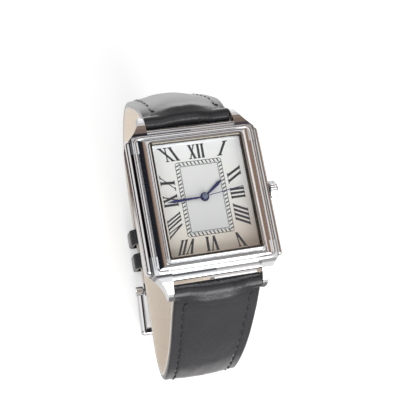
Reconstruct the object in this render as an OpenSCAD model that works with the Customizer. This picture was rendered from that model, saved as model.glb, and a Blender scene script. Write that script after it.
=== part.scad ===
// Rectangular quartz wristwatch on a leather strap, in millimetres.
// The middle of the case back's flat face is the origin. The dial faces +Z,
// 12 o'clock is +Y and the crown is at +X.

/* [Case] */
// Width of the case over its side rails
case_w = 30.6; // [28:0.1:34]
// Length of the inner frame, from the 12 end to the 6 end
case_l = 31.0; // [29:0.1:34]
// Distance from lug tip to lug tip
lug_span = 41.8; // [39:0.1:46]
// Free width between a pair of lugs, which is the strap size
lug_gap = 20; // [18:0.5:22]
// Height of the inner frame above the case back
frame_h = 5.7; // [5.3:0.1:6.5]
// Radius of the bead along each long side
rail_r = 0.8; // [0.6:0.05:1]
// Radius of the bead that runs round the inner frame
bead_r = 0.58; // [0.4:0.02:0.7]
// Height that the hollow slope climbs from the inner frame to the bezel
cove_rise = 1.5; // [1.2:0.1:1.6]
// Width of a lug at its tip
lug_tip_w = 1.1; // [1:0.1:1.6]

/* [Window] */
// Width of the window in the bezel
window_w = 19.7; // [18:0.1:20.5]
// Length of the window in the bezel
window_l = 25.0; // [23:0.1:26]
// Radius of the bead round the window
bezel_bead_r = 0.55; // [0.4:0.05:0.6]
// Thickness of the crystal
crystal_t = 1.0; // [0.8:0.1:1.2]
// Thickness of the dial plate
dial_t = 0.4; // [0.3:0.05:0.5]

/* [Hands] */
// Length of the hour hand from its centre
hour_hand_l = 5.6; // [4:0.1:7]
// Length of the minute hand from its centre
minute_hand_l = 8.5; // [7:0.1:9.5]
// Length of the second hand from its centre
second_hand_l = 9.0; // [7:0.1:9.5]
// Direction of the hour hand, clockwise from 12
hour_angle = 53; // [0:1:359]
// Direction of the minute hand, clockwise from 12
minute_angle = 268; // [0:1:359]
// Direction of the second hand, clockwise from 12
second_angle = 82; // [0:1:359]

/* [Motion work] */
// Teeth of the cannon pinion
cannon_teeth = 12; // [10:1:14]
// Teeth of the minute wheel
minute_wheel_teeth = 36; // [30:1:42]
// Teeth of the minute wheel's pinion
minute_pinion_teeth = 10; // [8:1:12]
// Teeth of the hour wheel
hour_wheel_teeth = 40; // [36:1:44]
// Distance from the centre of the hands to the minute wheel's post
motion_centres = 2.4; // [2.2:0.1:2.6]

/* [Movement] */
// Width of the movement
movement_w = 15.2; // [14.8:0.1:16]
// Length of the movement
movement_l = 17.8; // [17:0.1:19]
// Diameter of the battery
battery_d = 6.8; // [6.4:0.1:6.8]
// Thickness of the battery
battery_t = 2.1; // [1.6:0.1:2.2]

/* [Crown] */
// Diameter of the crown
crown_d = 4.2; // [3.6:0.1:5]
// Length of the crown
crown_l = 1.8; // [1.7:0.1:3]
// Number of flutes round the crown
crown_flutes = 24; // [16:1:30]
// Diameter of the stem
stem_d = 1.0; // [0.8:0.05:1.1]
// Travel of the crown when it is pulled out to set the hands
crown_pull = 1.0; // [0.6:0.1:1.2]

/* [Strap] */
// Strap width at the buckle
strap_w_buckle = 17; // [15:0.5:18]
// Thickness of the leather at its edges
leather_t = 1.2; // [1:0.1:1.4]
// Height of the padding over the leather's edges, near the lugs
padding_t = 1.2; // [0.4:0.1:1.4]
// Thickness of the lining
lining_t = 0.7; // [0.5:0.1:0.9]
// Number of size holes in the long half
size_holes = 7; // [4:1:8]
// Distance between size holes
hole_pitch = 6.5; // [5:0.5:7]
// Diameter of a size hole
hole_d = 1.9; // [1.5:0.1:2.2]

/* [Buckle] */
// Length of the buckle frame, from its bar to its front
buckle_l = 11; // [9:0.5:12]
// Diameter of the buckle frame's round bars
buckle_wire_d = 2.0; // [1.6:0.1:2.2]
// Diameter of the pin that the buckle turns on
buckle_pin_d = 1.2; // [1:0.1:1.4]
// Droop of the buckle frame from the line of the strap, in degrees
buckle_droop = 18; // [10:1:22]
// Length of a keeper along the strap
keeper_l = 4; // [3:0.5:5]
// Wall of a keeper
keeper_t = 1.1; // [0.8:0.1:1.2]
// Room for the long half between a keeper and the short half
keeper_room = 2.6; // [2.2:0.1:3]

/* [Fits] */
// Radial clearance of a turning part on its pin
run_fit = 0.05; // [0.02:0.01:0.09]
// Clearance between pieces that are assembled and stay put
seat_gap = 0.05; // [0.02:0.01:0.1]
// Clearance between leather and metal
leather_gap = 0.25; // [0.2:0.05:0.3]

/* [Hidden] */
$fn = 48;
tiny = 0.01;

// Heights above the case back
wall_z0 = 0.35;
wall_top = 4.2;
rail_z = 4.15;
dial_top = 5.45;
dial_z0 = dial_top - dial_t;
ledge_z = dial_top + 0.03;
bezel_seat = 6.3;
bezel_top = 8.1;
crystal_z0 = 6.5;

// Outlines from the window outwards
crystal_w = window_w + 0.8;
crystal_l = window_l + 0.8;
gasket_t = 0.25;
pocket_w = crystal_w + 2 * gasket_t + 2 * tiny;
pocket_l = crystal_l + 2 * gasket_t + 2 * tiny;
bezel_w = pocket_w + 0.9;
bezel_l = pocket_l + 0.9;
frame_w = case_w - 4 * rail_r + 0.1;
wall_w = case_w - 0.4;
wall_l = case_l;
wall_r = 2.2;
end_piece_y = case_l / 2 + 1.5;
end_piece_top = 3.7;
end_bead_r = 0.7;

// Hollow slope between the inner frame and the bezel
cove_z0 = frame_h - 0.35;
cove_spread = 30;
cove_w = frame_w - 1.5 * bead_r - 0.5;
cove_l = case_l - 1.5 * bead_r - 0.5;

// Spring bars
bar_y = lug_span / 2 - 1.7;
bar_z = 1.9;
bar_r = 0.75;
bar_tip_r = 0.4;
bar_tip_l = 0.7;
lug_w = 4.2;
lug_flare = 1.8;
lug_top = 0.9;

// Cavities of the case
dial_margin = 1.35;
cavity_w = window_w + 2 * dial_margin;
cavity_l = window_l + 2 * dial_margin + 0.1;
cavity_r = 1.4;
gasket_w = 0.6;
back_w = cavity_w + 5.0;
back_l = cavity_l + 2.2;
back_r = 1.6;
back_t = 0.9;
screw_x = back_w / 2 - 1.3;
screw_y = back_l / 2 - 1.25;
screw_head_r = 0.75;
screw_head_t = 0.48;
screw_r = 0.4;
screw_l = 2.4;

// Movement
stem_z = 3.1;
stem_r = stem_d / 2;
tube_r = 1.0;
plate_z0 = 2.2;
plate_top = dial_z0 - tiny;
board_t = 0.4;
web_z0 = 3.6;
web_top = 4.1;
arbor_r = 0.14;
cannon_in = arbor_r + run_fit;
cannon_out = 0.40;
hour_in = cannon_out + run_fit;
hour_out = 0.70;
wheel_post_r = 0.18;
cannon_module = 2 * motion_centres / (cannon_teeth + minute_wheel_teeth);
hour_module = 2 * motion_centres / (minute_pinion_teeth + hour_wheel_teeth);
cannon_gear_z = web_top + 0.06;
cannon_gear_h = 0.34;
hour_gear_z = cannon_gear_z + cannon_gear_h + 0.06;
hour_gear_h = 0.3;
pinion_x = 5.3;
pinion_r = 0.85;
pinion_l = 0.9;
stem_square = 0.56;
stem_shoulder = pinion_x + pinion_l + 0.2;
stem_end = pinion_x - crown_pull + 0.1;
crown_x = case_w / 2 + 0.12;
crown_bevel = 0.35;
crown_hollow = 1.1;
flute_r = 0.14;
battery_x = 0.35 + 0.1 + battery_d / 2 - movement_w / 2;
battery_y = 0.35 + 0.1 + battery_d / 2 - movement_l / 2;

// Hands
hour_hand_z = 5.62;
minute_hand_z = 5.85;
second_hand_z = 6.08;
hand_t = 0.13;

// Strap routes: start angle below level, then runs of length and turn
strap_side_gap = 0.2;
strap_w = lug_gap - 2 * strap_side_gap;
start_12 = 42;
lead_12 = 2;
shoulder_12 = 7;
shoulder_12_turn = 22;
side_12 = 12;
side_12_turn = 4;
crest_12 = 10;
crest_12_turn = 34;
bend_12 = 34;
bend_12_turn = 180 - start_12 - shoulder_12_turn - side_12_turn - crest_12_turn;
flat_12_l = 18;
start_6 = 58;
lead_6 = 2;
shoulder_6 = 14;
shoulder_6_turn = 4;
side_6 = 22;
side_6_turn = 16;
stack_gap = 4.0;
lap_turn = 42;
runs_12 = [[lead_12, 0], [shoulder_12, shoulder_12_turn], [side_12, side_12_turn],
    [crest_12, crest_12_turn], [bend_12, bend_12_turn], [flat_12_l, 0]];
upper_6 = [[lead_6, 0], [shoulder_6, shoulder_6_turn], [side_6, side_6_turn]];
p_12 = [bar_y, bar_z, start_12];
p_6 = [bar_y, bar_z, start_6];
flat_12 = run_start(runs_12, 5, p_12);
end_12 = run_start(runs_12, 6, p_12);
knee_6 = run_start(upper_6, 3, p_6);
flat_6_z = flat_12[1] + stack_gap;
knee_r = (knee_6[1] - flat_6_z) / (1 + cos(knee_6[2]));
knee_turn = 180 - knee_6[2];
flat_6_l = knee_6[0] - knee_r * sin(knee_6[2]) + flat_12[0];
lap_r = bend_12 / (bend_12_turn * PI / 180) - stack_gap;
runs_6 = concat(upper_6, [[knee_r * knee_turn * PI / 180, knee_turn], [flat_6_l, 0],
    [lap_r * lap_turn * PI / 180, lap_turn]]);
length_12 = total_length(runs_12);
length_6 = total_length(runs_6);
barrel_r = 1.65;
buckle_barrel_r = 1.3;
tip_l = 9;
taper_start = 8;
taper_end = 22;
lining_start = barrel_r + 0.55;
lining_end = buckle_barrel_r + 0.5;
station_step = 3;
first_hole = 22;
padding_start = 6;
padding_run = 30;
tongue_w = 1.8;
slot_l = 5;
slot_w = tongue_w + 2 * leather_gap;

// Keepers and buckle
fixed_keeper_at = slot_l + 3;
free_keeper_pitch = 6.5;
free_keeper_at = fixed_keeper_at + free_keeper_pitch;
keeper_side_gap = 0.5;
keeper_r = 0.6;
arm_gap = 0.35;
eye_wall = 0.25;
arm_taper = 0.1;
buckle_span = strap_w_buckle + 2 * arm_gap;
tongue_t = 0.8;
tongue_over = 0.8;
tongue_eye_r = 1.1;
tongue_tilt = 5;
tongue_side_gap = 0.2;
tongue_seat = 0.45;

// Rounded rectangle in the plane
module rounded(w, l, r) {
    square([w - 2 * r, l], center = true);
    square([w, l - 2 * r], center = true);
    for (x = [-1, 1], y = [-1, 1])
        translate([x * (w / 2 - r), y * (l / 2 - r)])
            circle(r);
}

// Rounded block from one height to another
module slab(w, l, r, z0, z1) {
    translate([0, 0, z0])
        linear_extrude(z1 - z0)
            rounded(w, l, r);
}

// Flat frame with a rounded opening
module ring_slab(w, l, r, in_w, in_l, in_r, z0, z1) {
    translate([0, 0, z0])
        linear_extrude(z1 - z0)
            difference() {
                rounded(w, l, r);
                rounded(in_w, in_l, in_r);
            }
}

// Round bead along a rectangle of centre lines with rounded corners
module bead_frame(w, l, corner_r, r) {
    for (x = [-1, 1])
        translate([x * w / 2, 0, 0])
            rotate([90, 0, 0])
                cylinder(r = r, h = l - 2 * corner_r, center = true);
    for (y = [-1, 1])
        translate([0, y * l / 2, 0])
            rotate([0, 90, 0])
                cylinder(r = r, h = w - 2 * corner_r, center = true);
    for (k = [0:3])
        translate([(k == 0 || k == 3 ? 1 : -1) * (w / 2 - corner_r),
            (k < 2 ? 1 : -1) * (l / 2 - corner_r), 0])
            rotate([0, 0, 90 * k])
                rotate_extrude(angle = 90)
                    translate([corner_r, 0])
                        circle(r);
}

// Hollow slope from the inner frame up to the bezel, cut by a cylinder along each side
function cove_chord(reach) = atan(cove_rise / reach);
function cove_r(reach) = let (a = cove_chord(reach))
    reach / (sin(a + cove_spread / 2) - sin(a - cove_spread / 2));

module cove_cut(edge, reach) {
    low = cove_chord(reach) - cove_spread / 2;
    r = cove_r(reach);
    for (side = [-1, 1])
        translate([side * (edge + r * sin(low)), 0, cove_z0 + r * cos(low)])
            rotate([90, 0, 0])
                cylinder(r = r, h = 2 * case_l, center = true, $fn = 96);
}

module cove() {
    difference() {
        translate([-cove_w / 2, -cove_l / 2, cove_z0 - bead_r])
            cube([cove_w, cove_l, cove_rise + bead_r]);
        cove_cut(cove_w / 2, (cove_w - bezel_w) / 2);
        rotate([0, 0, 90])
            cove_cut(cove_l / 2, (cove_l - bezel_l) / 2);
    }
}

// Side outline of a lug, swept over with an ellipse and rounded under its tip
function lug_side() = let (y0 = case_l / 2 - 1.4, tip = lug_span / 2, h = frame_h - 0.1 - lug_top, r = 0.8)
    concat([[y0 - 3, wall_z0], [y0 - 3, frame_h - 0.1]],
        [for (t = [0:9:81]) [y0 + (tip - y0) * sin(t), lug_top + h * cos(t)]],
        [for (t = [0:30:90]) [tip - r + r * cos(t), lug_top - r * sin(t)]]);

// Plan outline of a lug, which flares from its narrow tip to the rail's end
function lug_plan() = let (x = lug_gap / 2, tip = lug_span / 2, root = case_l / 2 - 0.6, ease = 0.25)
    concat([[x, root - 3.4], [x, tip - ease], [x + ease, tip], [x + lug_tip_w - ease, tip]],
        [for (t = [0:0.125:1]) [x + lug_tip_w + (lug_w - lug_tip_w) * pow(t, lug_flare),
            tip - ease - t * (tip - ease - root)]],
        [[x + lug_w, root - 3.4]]);

module lug() {
    intersection() {
        rotate([90, 0, 90])
            linear_extrude(lug_gap)
                polygon(lug_side());
        linear_extrude(frame_h + 1)
            polygon(lug_plan());
    }
}

module case_body() {
    color([0.78, 0.79, 0.81])
        difference() {
            union() {
                slab(wall_w, wall_l, wall_r, wall_z0, wall_top);
                slab(frame_w + 2 * bead_r * 0.2, case_l - bead_r, 1.6, wall_top - tiny, frame_h - 0.3);
                for (x = [-1, 1])
                    translate([x * (case_w / 2 - rail_r), 0, rail_z]) {
                        rotate([90, 0, 0])
                            cylinder(r = rail_r, h = case_l - 3.4 * rail_r, center = true);
                        for (y = [-1, 1])
                            translate([0, y * (case_l / 2 - 1.7 * rail_r), 0])
                                sphere(rail_r);
                    }
                translate([0, 0, frame_h - bead_r])
                    bead_frame(frame_w - 2 * bead_r, case_l - 2 * bead_r, 1.2, bead_r);
                cove();
                for (y = [-1, 1]) {
                    translate([0, y * (end_piece_y - 2), (wall_z0 + end_piece_top) / 2])
                        cube([lug_gap + 1, 4, end_piece_top - wall_z0], center = true);
                    translate([0, y * (end_piece_y - end_bead_r), end_piece_top])
                        rotate([0, 90, 0])
                            cylinder(r = end_bead_r, h = lug_gap + 1, center = true);
                    translate([0, y * (end_piece_y - end_bead_r - 1.5), end_piece_top + 0.2])
                        cube([lug_gap + 1, 3, 1.0], center = true);
                }
                for (x = [0, 1], y = [0, 1])
                    mirror([x, 0, 0])
                        mirror([0, y, 0])
                            lug();
            }
            slab(back_w + 2 * seat_gap, back_l + 2 * seat_gap, back_r, wall_z0 - 1, back_t + 0.02);
            slab(cavity_w + 2 * (gasket_w + seat_gap), cavity_l + 2 * (gasket_w + seat_gap), 1.6, 0, back_t + 0.42);
            slab(cavity_w, cavity_l, cavity_r, 0, ledge_z);
            slab(crystal_w + 0.1, crystal_l + 0.1, 0.9, 0, bezel_top);
            slab(bezel_w + 2 * seat_gap, bezel_l + 2 * seat_gap, 1.0, bezel_seat, bezel_top);
            translate([0, 0, stem_z])
                rotate([0, 90, 0])
                    cylinder(r = tube_r + tiny, h = case_w);
            for (x = [-1, 1], y = [-1, 1]) {
                translate([x * screw_x, y * screw_y, 0])
                    cylinder(r = screw_r + seat_gap / 2, h = screw_l + 0.2);
                translate([x * (lug_gap / 2 - 0.5), y * bar_y, bar_z])
                    rotate([0, x * 90, 0])
                        cylinder(r = bar_tip_r + run_fit, h = bar_tip_l + 0.6);
            }
        }
}

module bezel() {
    color([0.82, 0.83, 0.85])
        difference() {
            union() {
                slab(bezel_w, bezel_l, 1.0, bezel_seat + tiny, bezel_top - bezel_bead_r);
                translate([0, 0, bezel_top - bezel_bead_r])
                    bead_frame(window_w + 2 * bezel_bead_r, window_l + 2 * bezel_bead_r, 0.75, bezel_bead_r);
            }
            slab(pocket_w, pocket_l, 0.9, 0, crystal_z0 + crystal_t + tiny);
            slab(window_w + 0.1, window_l + 0.1, 0.5, 0, bezel_top - bezel_bead_r + tiny);
        }
}

module crystal() {
    color([0.85, 0.92, 0.95, 0.3])
        slab(crystal_w, crystal_l, 0.7, crystal_z0, crystal_z0 + crystal_t);
}

module crystal_gasket() {
    color([0.92, 0.92, 0.9])
        ring_slab(crystal_w + 2 * gasket_t, crystal_l + 2 * gasket_t, 0.85,
            crystal_w + 2 * tiny, crystal_l + 2 * tiny, 0.7, crystal_z0, crystal_z0 + 0.8);
}

module dial_ring() {
    color([0.8, 0.8, 0.8])
        ring_slab(crystal_w, crystal_l, 0.8, window_w + 0.2, window_l + 0.2, 0.4, dial_top, crystal_z0);
}

module dial() {
    color([0.95, 0.93, 0.87])
        difference() {
            slab(cavity_w - 0.2, cavity_l - 0.2, cavity_r - 0.1, dial_z0, dial_top);
            translate([0, 0, dial_z0 - 1])
                cylinder(r = hour_out + 0.15, h = 3);
        }
}

module movement_holder() {
    color([0.93, 0.93, 0.9])
        difference() {
            ring_slab(cavity_w - 0.2, cavity_l - 0.2, cavity_r - 0.1,
                movement_w + 2 * seat_gap, movement_l + 2 * seat_gap, 0.6, 1.4, dial_z0 - tiny);
            translate([0, 0, stem_z])
                rotate([0, 90, 0])
                    cylinder(r = tube_r + 0.1, h = case_w);
        }
}

module main_plate() {
    color([0.72, 0.66, 0.45])
        difference() {
            union() {
                difference() {
                    slab(movement_w, movement_l, 0.6, plate_z0, plate_top);
                    translate([0, 0, web_top])
                        cylinder(r = hour_module * (hour_wheel_teeth / 2 + 1) + 0.25, h = 3);
                    translate([0, -motion_centres, web_top])
                        cylinder(r = cannon_module * (minute_wheel_teeth / 2 + 1) + 0.2, h = 3);
                }
                translate([0, -motion_centres, web_top - tiny])
                    cylinder(r = wheel_post_r, h = plate_top - web_top);
            }
            translate([0, 0, plate_z0 - 1])
                cylinder(r = 2.8, h = web_z0 - plate_z0 + 1);
            cylinder(r = cannon_out + run_fit, h = 9);
            translate([battery_x, battery_y, plate_z0 - 1])
                cylinder(r = battery_d / 2 + 0.1, h = 1 + battery_t - 0.35);
            translate([-7, 3.2, plate_z0 - 1])
                cube([8.4, 3.2, 1 + 1.6]);
            translate([4.6, 4.2, plate_z0 - 1])
                cube([1.6, 3.4, 1 + 1.35]);
            translate([pinion_x - 0.08, -pinion_r - 0.1, plate_z0 - 1])
                cube([pinion_l + 0.16, 2 * pinion_r + 0.2, 1 + stem_z - plate_z0 + pinion_r + 0.08]);
            translate([stem_end - 0.3, 0, stem_z])
                rotate([0, 90, 0])
                    cylinder(r = stem_r + run_fit, h = movement_w);
        }
}

module circuit_board() {
    color([0.15, 0.4, 0.25])
        difference() {
            slab(movement_w - 0.2, movement_l - 0.2, 0.5, plate_z0 - board_t - tiny, plate_z0 - tiny);
            translate([battery_x, battery_y, 0])
                cylinder(r = battery_d / 2 + 0.15, h = 4);
        }
}

module battery() {
    color([0.75, 0.76, 0.78])
        translate([battery_x, battery_y, 1.62]) {
            cylinder(r = battery_d / 2, h = battery_t - 0.25);
            translate([0, 0, battery_t - 0.25 - tiny])
                cylinder(r = battery_d / 2 - 0.7, h = 0.25);
        }
}

module battery_clip() {
    color([0.85, 0.83, 0.75])
        union() {
            translate([battery_x - 1.1, battery_y - battery_d / 2 - 0.2, 1.45])
                cube([2.2, battery_d + 2.2, 0.15]);
            translate([battery_x - 1.1, battery_y + battery_d / 2 + 0.8, 1.45])
                cube([2.2, 1.2, plate_z0 - board_t - 2 * tiny - 1.45]);
        }
}

module coil() {
    color([0.72, 0.36, 0.18])
        translate([-6.8, 4.8, 3.0]) {
            rotate([0, 90, 0])
                cylinder(r = 0.72, h = 8.0);
            for (x = [0, 7.6])
                translate([x, -1.0, -0.75])
                    cube([0.4, 2.0, 1.5]);
        }
}

module stator() {
    color([0.6, 0.6, 0.62])
        difference() {
            translate([-6.9, 6.6, plate_z0 - board_t - 0.02 - 0.25])
                cube([8.4, 1.6, 0.25]);
            translate([-2.8, 7.4, 0])
                cylinder(r = 0.5, h = 4);
        }
}

module quartz_can() {
    color([0.8, 0.8, 0.82])
        translate([5.4, 4.3, 2.85])
            rotate([-90, 0, 0])
                cylinder(r = 0.6, h = 3.2);
}

module train_bridge() {
    color([0.75, 0.7, 0.5])
        difference() {
            translate([0, 0, plate_z0 + tiny])
                cylinder(r = 2.75, h = 0.4);
            cylinder(r = arbor_r + run_fit, h = 9);
        }
}

module case_back() {
    color([0.74, 0.75, 0.77])
        difference() {
            union() {
                slab(back_w, back_l, back_r - seat_gap, 0, back_t);
                slab(cavity_w - 0.3, cavity_l - 0.3, cavity_r, back_t - tiny, back_t + 0.38);
            }
            for (x = [-1, 1], y = [-1, 1])
                translate([x * screw_x, y * screw_y, -1]) {
                    cylinder(r = screw_head_r + seat_gap, h = 1 + screw_head_t + 0.07);
                    cylinder(r = screw_r + seat_gap, h = 3);
                }
        }
}

module back_gasket() {
    color([0.15, 0.15, 0.15])
        ring_slab(cavity_w + 2 * gasket_w, cavity_l + 2 * gasket_w, 1.6, cavity_w - 0.2, cavity_l - 0.2, 1.4,
            back_t + 0.02, back_t + 0.4);
}

module case_back_screws() {
    color([0.7, 0.7, 0.72])
        for (x = [-1, 1], y = [-1, 1])
            translate([x * screw_x, y * screw_y, 0])
                difference() {
                    union() {
                        translate([0, 0, 0.06])
                            cylinder(r = screw_head_r, h = screw_head_t);
                        cylinder(r = screw_r, h = screw_l);
                    }
                    translate([0, 0, 0.1])
                        cube([3, 0.25, 0.4], center = true);
                }
}

module crown_tube() {
    color([0.7, 0.7, 0.72])
        translate([cavity_w / 2 + 0.02, 0, stem_z])
            rotate([0, 90, 0])
                difference() {
                    cylinder(r = tube_r, h = case_w / 2 - cavity_w / 2 + 0.9);
                    translate([0, 0, -1])
                        cylinder(r = stem_r + run_fit, h = 9);
                }
}

// Crown with flutes, hollow behind so that it slides over its tube
module crown() {
    color([0.85, 0.86, 0.88])
        translate([crown_x, 0, stem_z])
            rotate([0, 90, 0])
                difference() {
                    union() {
                        cylinder(r = crown_d / 2 - 0.1, h = crown_l - crown_bevel);
                        translate([0, 0, crown_l - crown_bevel - tiny])
                            cylinder(r1 = crown_d / 2 - 0.1, r2 = crown_d / 2 - 0.55, h = crown_bevel);
                        for (k = [0:crown_flutes - 1])
                            rotate([0, 0, 360 * k / crown_flutes])
                                translate([crown_d / 2 - flute_r, 0, 0.15])
                                    cylinder(r = flute_r, h = crown_l - crown_bevel - 0.2);
                    }
                    translate([0, 0, -1])
                        cylinder(r = tube_r + 0.28, h = 1 + crown_hollow);
                    cylinder(r = stem_r, h = crown_l - 0.5);
                }
}

module crown_gasket() {
    color([0.12, 0.12, 0.12])
        translate([case_w / 2 + 0.7, 0, stem_z])
            rotate([0, 90, 0])
                rotate_extrude()
                    translate([tube_r + 0.14, 0])
                        circle(0.11);
}

// Stem with a square inner end that drives the setting pinion
module stem() {
    color([0.65, 0.65, 0.68])
        union() {
            translate([stem_shoulder, 0, stem_z])
                rotate([0, 90, 0])
                    cylinder(r = stem_r, h = crown_x + crown_l - 0.55 - stem_shoulder);
            translate([stem_end, -stem_square / 2, stem_z - stem_square / 2])
                cube([stem_shoulder + 0.1 - stem_end, stem_square, stem_square]);
        }
}

module setting_pinion() {
    color([0.75, 0.7, 0.5])
        difference() {
            translate([pinion_x, 0, stem_z])
                rotate([0, 90, 0])
                    linear_extrude(pinion_l)
                        polygon(gear_points(10, 2 * (pinion_r - 0.02) / 12));
            translate([pinion_x - 1, -stem_square / 2 - 0.03, stem_z - stem_square / 2 - 0.03])
                cube([3, stem_square + 0.06, stem_square + 0.06]);
        }
}

// Outline of a small spur gear: root, flank, tip and flank for each tooth
function gear_points(n, m) = [for (k = [0:n - 1], c = [[-0.30, -1.15], [-0.11, 0.9], [0.11, 0.9], [0.30, -1.15]])
    let (a = 360 * (k + c[0]) / n, r = m * (n / 2 + c[1])) [r * cos(a), r * sin(a)]];

// Hand outline that widens towards its point
function hand_points(l, root_w, wide_w, wide_at) = [[-root_w / 2, 0], [-wide_w / 2, l * wide_at], [0, l],
    [wide_w / 2, l * wide_at], [root_w / 2, 0]];

module hand(l, root_w, wide_w, wide_at, boss_r, bore_r, angle, z) {
    rotate([0, 0, -angle])
        translate([0, 0, z])
            difference() {
                union() {
                    linear_extrude(hand_t)
                        polygon(hand_points(l, root_w, wide_w, wide_at));
                    cylinder(r = boss_r, h = hand_t);
                }
                translate([0, 0, -1])
                    cylinder(r = bore_r, h = 3);
            }
}

module hour_hand() {
    color([0.1, 0.12, 0.35])
        hand(hour_hand_l, 0.35, 0.75, 0.78, 1.0, hour_out + tiny, hour_angle, hour_hand_z);
}

module hour_wheel() {
    color([0.8, 0.7, 0.4])
        difference() {
            union() {
                translate([0, 0, hour_gear_z])
                    rotate([0, 0, -90])
                        linear_extrude(hour_gear_h)
                            polygon(gear_points(hour_wheel_teeth, hour_module));
                translate([0, 0, hour_gear_z])
                    cylinder(r = hour_out, h = hour_hand_z + hand_t - hour_gear_z);
            }
            cylinder(r = hour_in, h = 9);
        }
}

module minute_hand() {
    color([0.1, 0.12, 0.35])
        hand(minute_hand_l, 0.3, 0.62, 0.8, 0.75, cannon_out + tiny, minute_angle, minute_hand_z);
}

module cannon_pinion() {
    color([0.7, 0.7, 0.72])
        difference() {
            union() {
                translate([0, 0, web_z0 + 0.05])
                    cylinder(r = cannon_out, h = minute_hand_z + hand_t - web_z0 - 0.05);
                translate([0, 0, cannon_gear_z])
                    rotate([0, 0, -90])
                        linear_extrude(cannon_gear_h)
                            polygon(gear_points(cannon_teeth, cannon_module));
            }
            cylinder(r = cannon_in, h = 9);
        }
}

module minute_wheel() {
    color([0.8, 0.7, 0.4])
        translate([0, -motion_centres, 0])
            difference() {
                union() {
                    translate([0, 0, cannon_gear_z])
                        rotate([0, 0, 90 + 180 / minute_wheel_teeth])
                            linear_extrude(cannon_gear_h)
                                polygon(gear_points(minute_wheel_teeth, cannon_module));
                    translate([0, 0, hour_gear_z - 0.06 - tiny])
                        rotate([0, 0, 90 + 180 / minute_pinion_teeth])
                            linear_extrude(hour_gear_h + 0.06)
                                polygon(gear_points(minute_pinion_teeth, hour_module));
                }
                cylinder(r = wheel_post_r + run_fit, h = 9);
            }
}

module second_hand() {
    color([0.1, 0.12, 0.35])
        rotate([0, 0, -second_angle])
            translate([0, 0, second_hand_z])
                difference() {
                    union() {
                        translate([-0.08, -2.4, 0])
                            cube([0.16, second_hand_l + 2.4, hand_t * 0.8]);
                        cylinder(r = 0.55, h = hand_t + 0.1);
                    }
                    translate([0, 0, -1])
                        cylinder(r = arbor_r + tiny, h = 1 + hand_t);
                }
}

module seconds_wheel() {
    color([0.8, 0.7, 0.4])
        union() {
            translate([0, 0, plate_z0 + 0.06])
                cylinder(r = arbor_r, h = second_hand_z + hand_t - tiny - plate_z0 - 0.06);
            translate([0, 0, 2.75])
                linear_extrude(0.2)
                    polygon(gear_points(50, 0.1));
            translate([0, 0, 3.0])
                linear_extrude(0.45)
                    polygon(gear_points(10, 0.09));
            translate([0, 0, 2.9])
                cylinder(r = 0.3, h = 0.15);
        }
}

module spring_bar(y) {
    color([0.7, 0.7, 0.72])
        translate([0, y, bar_z])
            rotate([0, 90, 0]) {
                cylinder(r = bar_r, h = lug_gap - 0.8, center = true);
                cylinder(r = bar_tip_r, h = lug_gap + 2 * bar_tip_l, center = true);
            }
}

// Point and heading at the start of run i of a route, as [y, z, heading]
function run_start(runs, i, p) = i == 0 ? p : run_point(runs[i - 1], 1, run_start(runs, i - 1, p));

// Point part of the way along one run
function run_point(run, f, p) = let (h = p[2], t = h + f * run[1], r = run[0] / (run[1] * PI / 180))
    run[1] == 0 ? [p[0] + f * run[0] * cos(h), p[1] - f * run[0] * sin(h), h]
        : [p[0] + r * (sin(t) - sin(h)), p[1] + r * (cos(t) - cos(h)), t];

function total_length(runs, i = 0) = i == len(runs) ? 0 : runs[i][0] + total_length(runs, i + 1);

// Point at a distance s along a route
function route_point(runs, s, p, i = 0) = (i == len(runs) - 1 || s <= runs[i][0])
    ? run_point(runs[i], s / runs[i][0], p)
    : route_point(runs, s - runs[i][0], run_point(runs[i], 1, p), i + 1);

// Half the strap's width at a distance s from the spring bar
function half_width(s, l, round_tip) = let (body = strap_w + (strap_w_buckle - strap_w)
        * min(1, max(0, (s - taper_start) / (l - taper_start - taper_end))), u = max(0, (s - (l - tip_l)) / tip_l))
    body / 2 * (round_tip ? sqrt(max(0.01, 1 - u * u)) : 1);

// Padding over the leather's edge, full near the lugs and thin at the free end
function padding(s) = s < 2 ? padding_t * 0.45 + padding_t * 0.275 * s
    : padding_t * max(0.3, 1 - max(0, s - padding_start) / padding_run);

// Cross-section of the leather from one edge over the padding to the other
function leather_section(w, pad) = [[-w, 0], [-w, leather_t * 0.65], [-w + 0.35, leather_t],
    [-w * 0.62, leather_t + pad * 0.62], [-w * 0.25, leather_t + pad], [w * 0.25, leather_t + pad],
    [w * 0.62, leather_t + pad * 0.62], [w - 0.35, leather_t], [w, leather_t * 0.65], [w, 0]];

function lining_section(w) = [[-w, -lining_t], [-w, 0], [w, 0], [w, -lining_t]];

// Stations along the strap, closer together towards a rounded tip
function stations(s0, s1, step, round_tip) = let (s2 = round_tip ? s1 - tip_l : s1, n = ceil((s2 - s0) / step))
    concat([for (k = [0:n]) s0 + (s2 - s0) * k / n],
        round_tip ? [for (a = [15:15:90]) s2 + tip_l * sin(a) * 0.998] : []);

// Solid through a list of sections placed along the route
module sweep(sections, places) {
    n = len(sections[0]);
    m = len(sections);
    points = [for (k = [0:m - 1], q = sections[k]) let (y = places[k][0], z = places[k][1], h = places[k][2])
        [q[0], y + q[1] * sin(h), z + q[1] * cos(h)]];
    sides = [for (k = [0:m - 2], j = [0:n - 1]) let (j2 = (j + 1) % n, a = k * n + j, b = k * n + j2)
        each [[a, b + n, b], [a, a + n, b + n]]];
    polyhedron(points, concat([[for (j = [0:n - 1]) j]], sides,
        [[for (j = [0:n - 1]) m * n - 1 - j]]));
}

module leather(runs, p, l, round_tip) {
    s = stations(0, l, station_step, round_tip);
    sweep([for (x = s) leather_section(half_width(x, l, round_tip), padding(x))],
        [for (x = s) route_point(runs, x, p)]);
}

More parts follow.
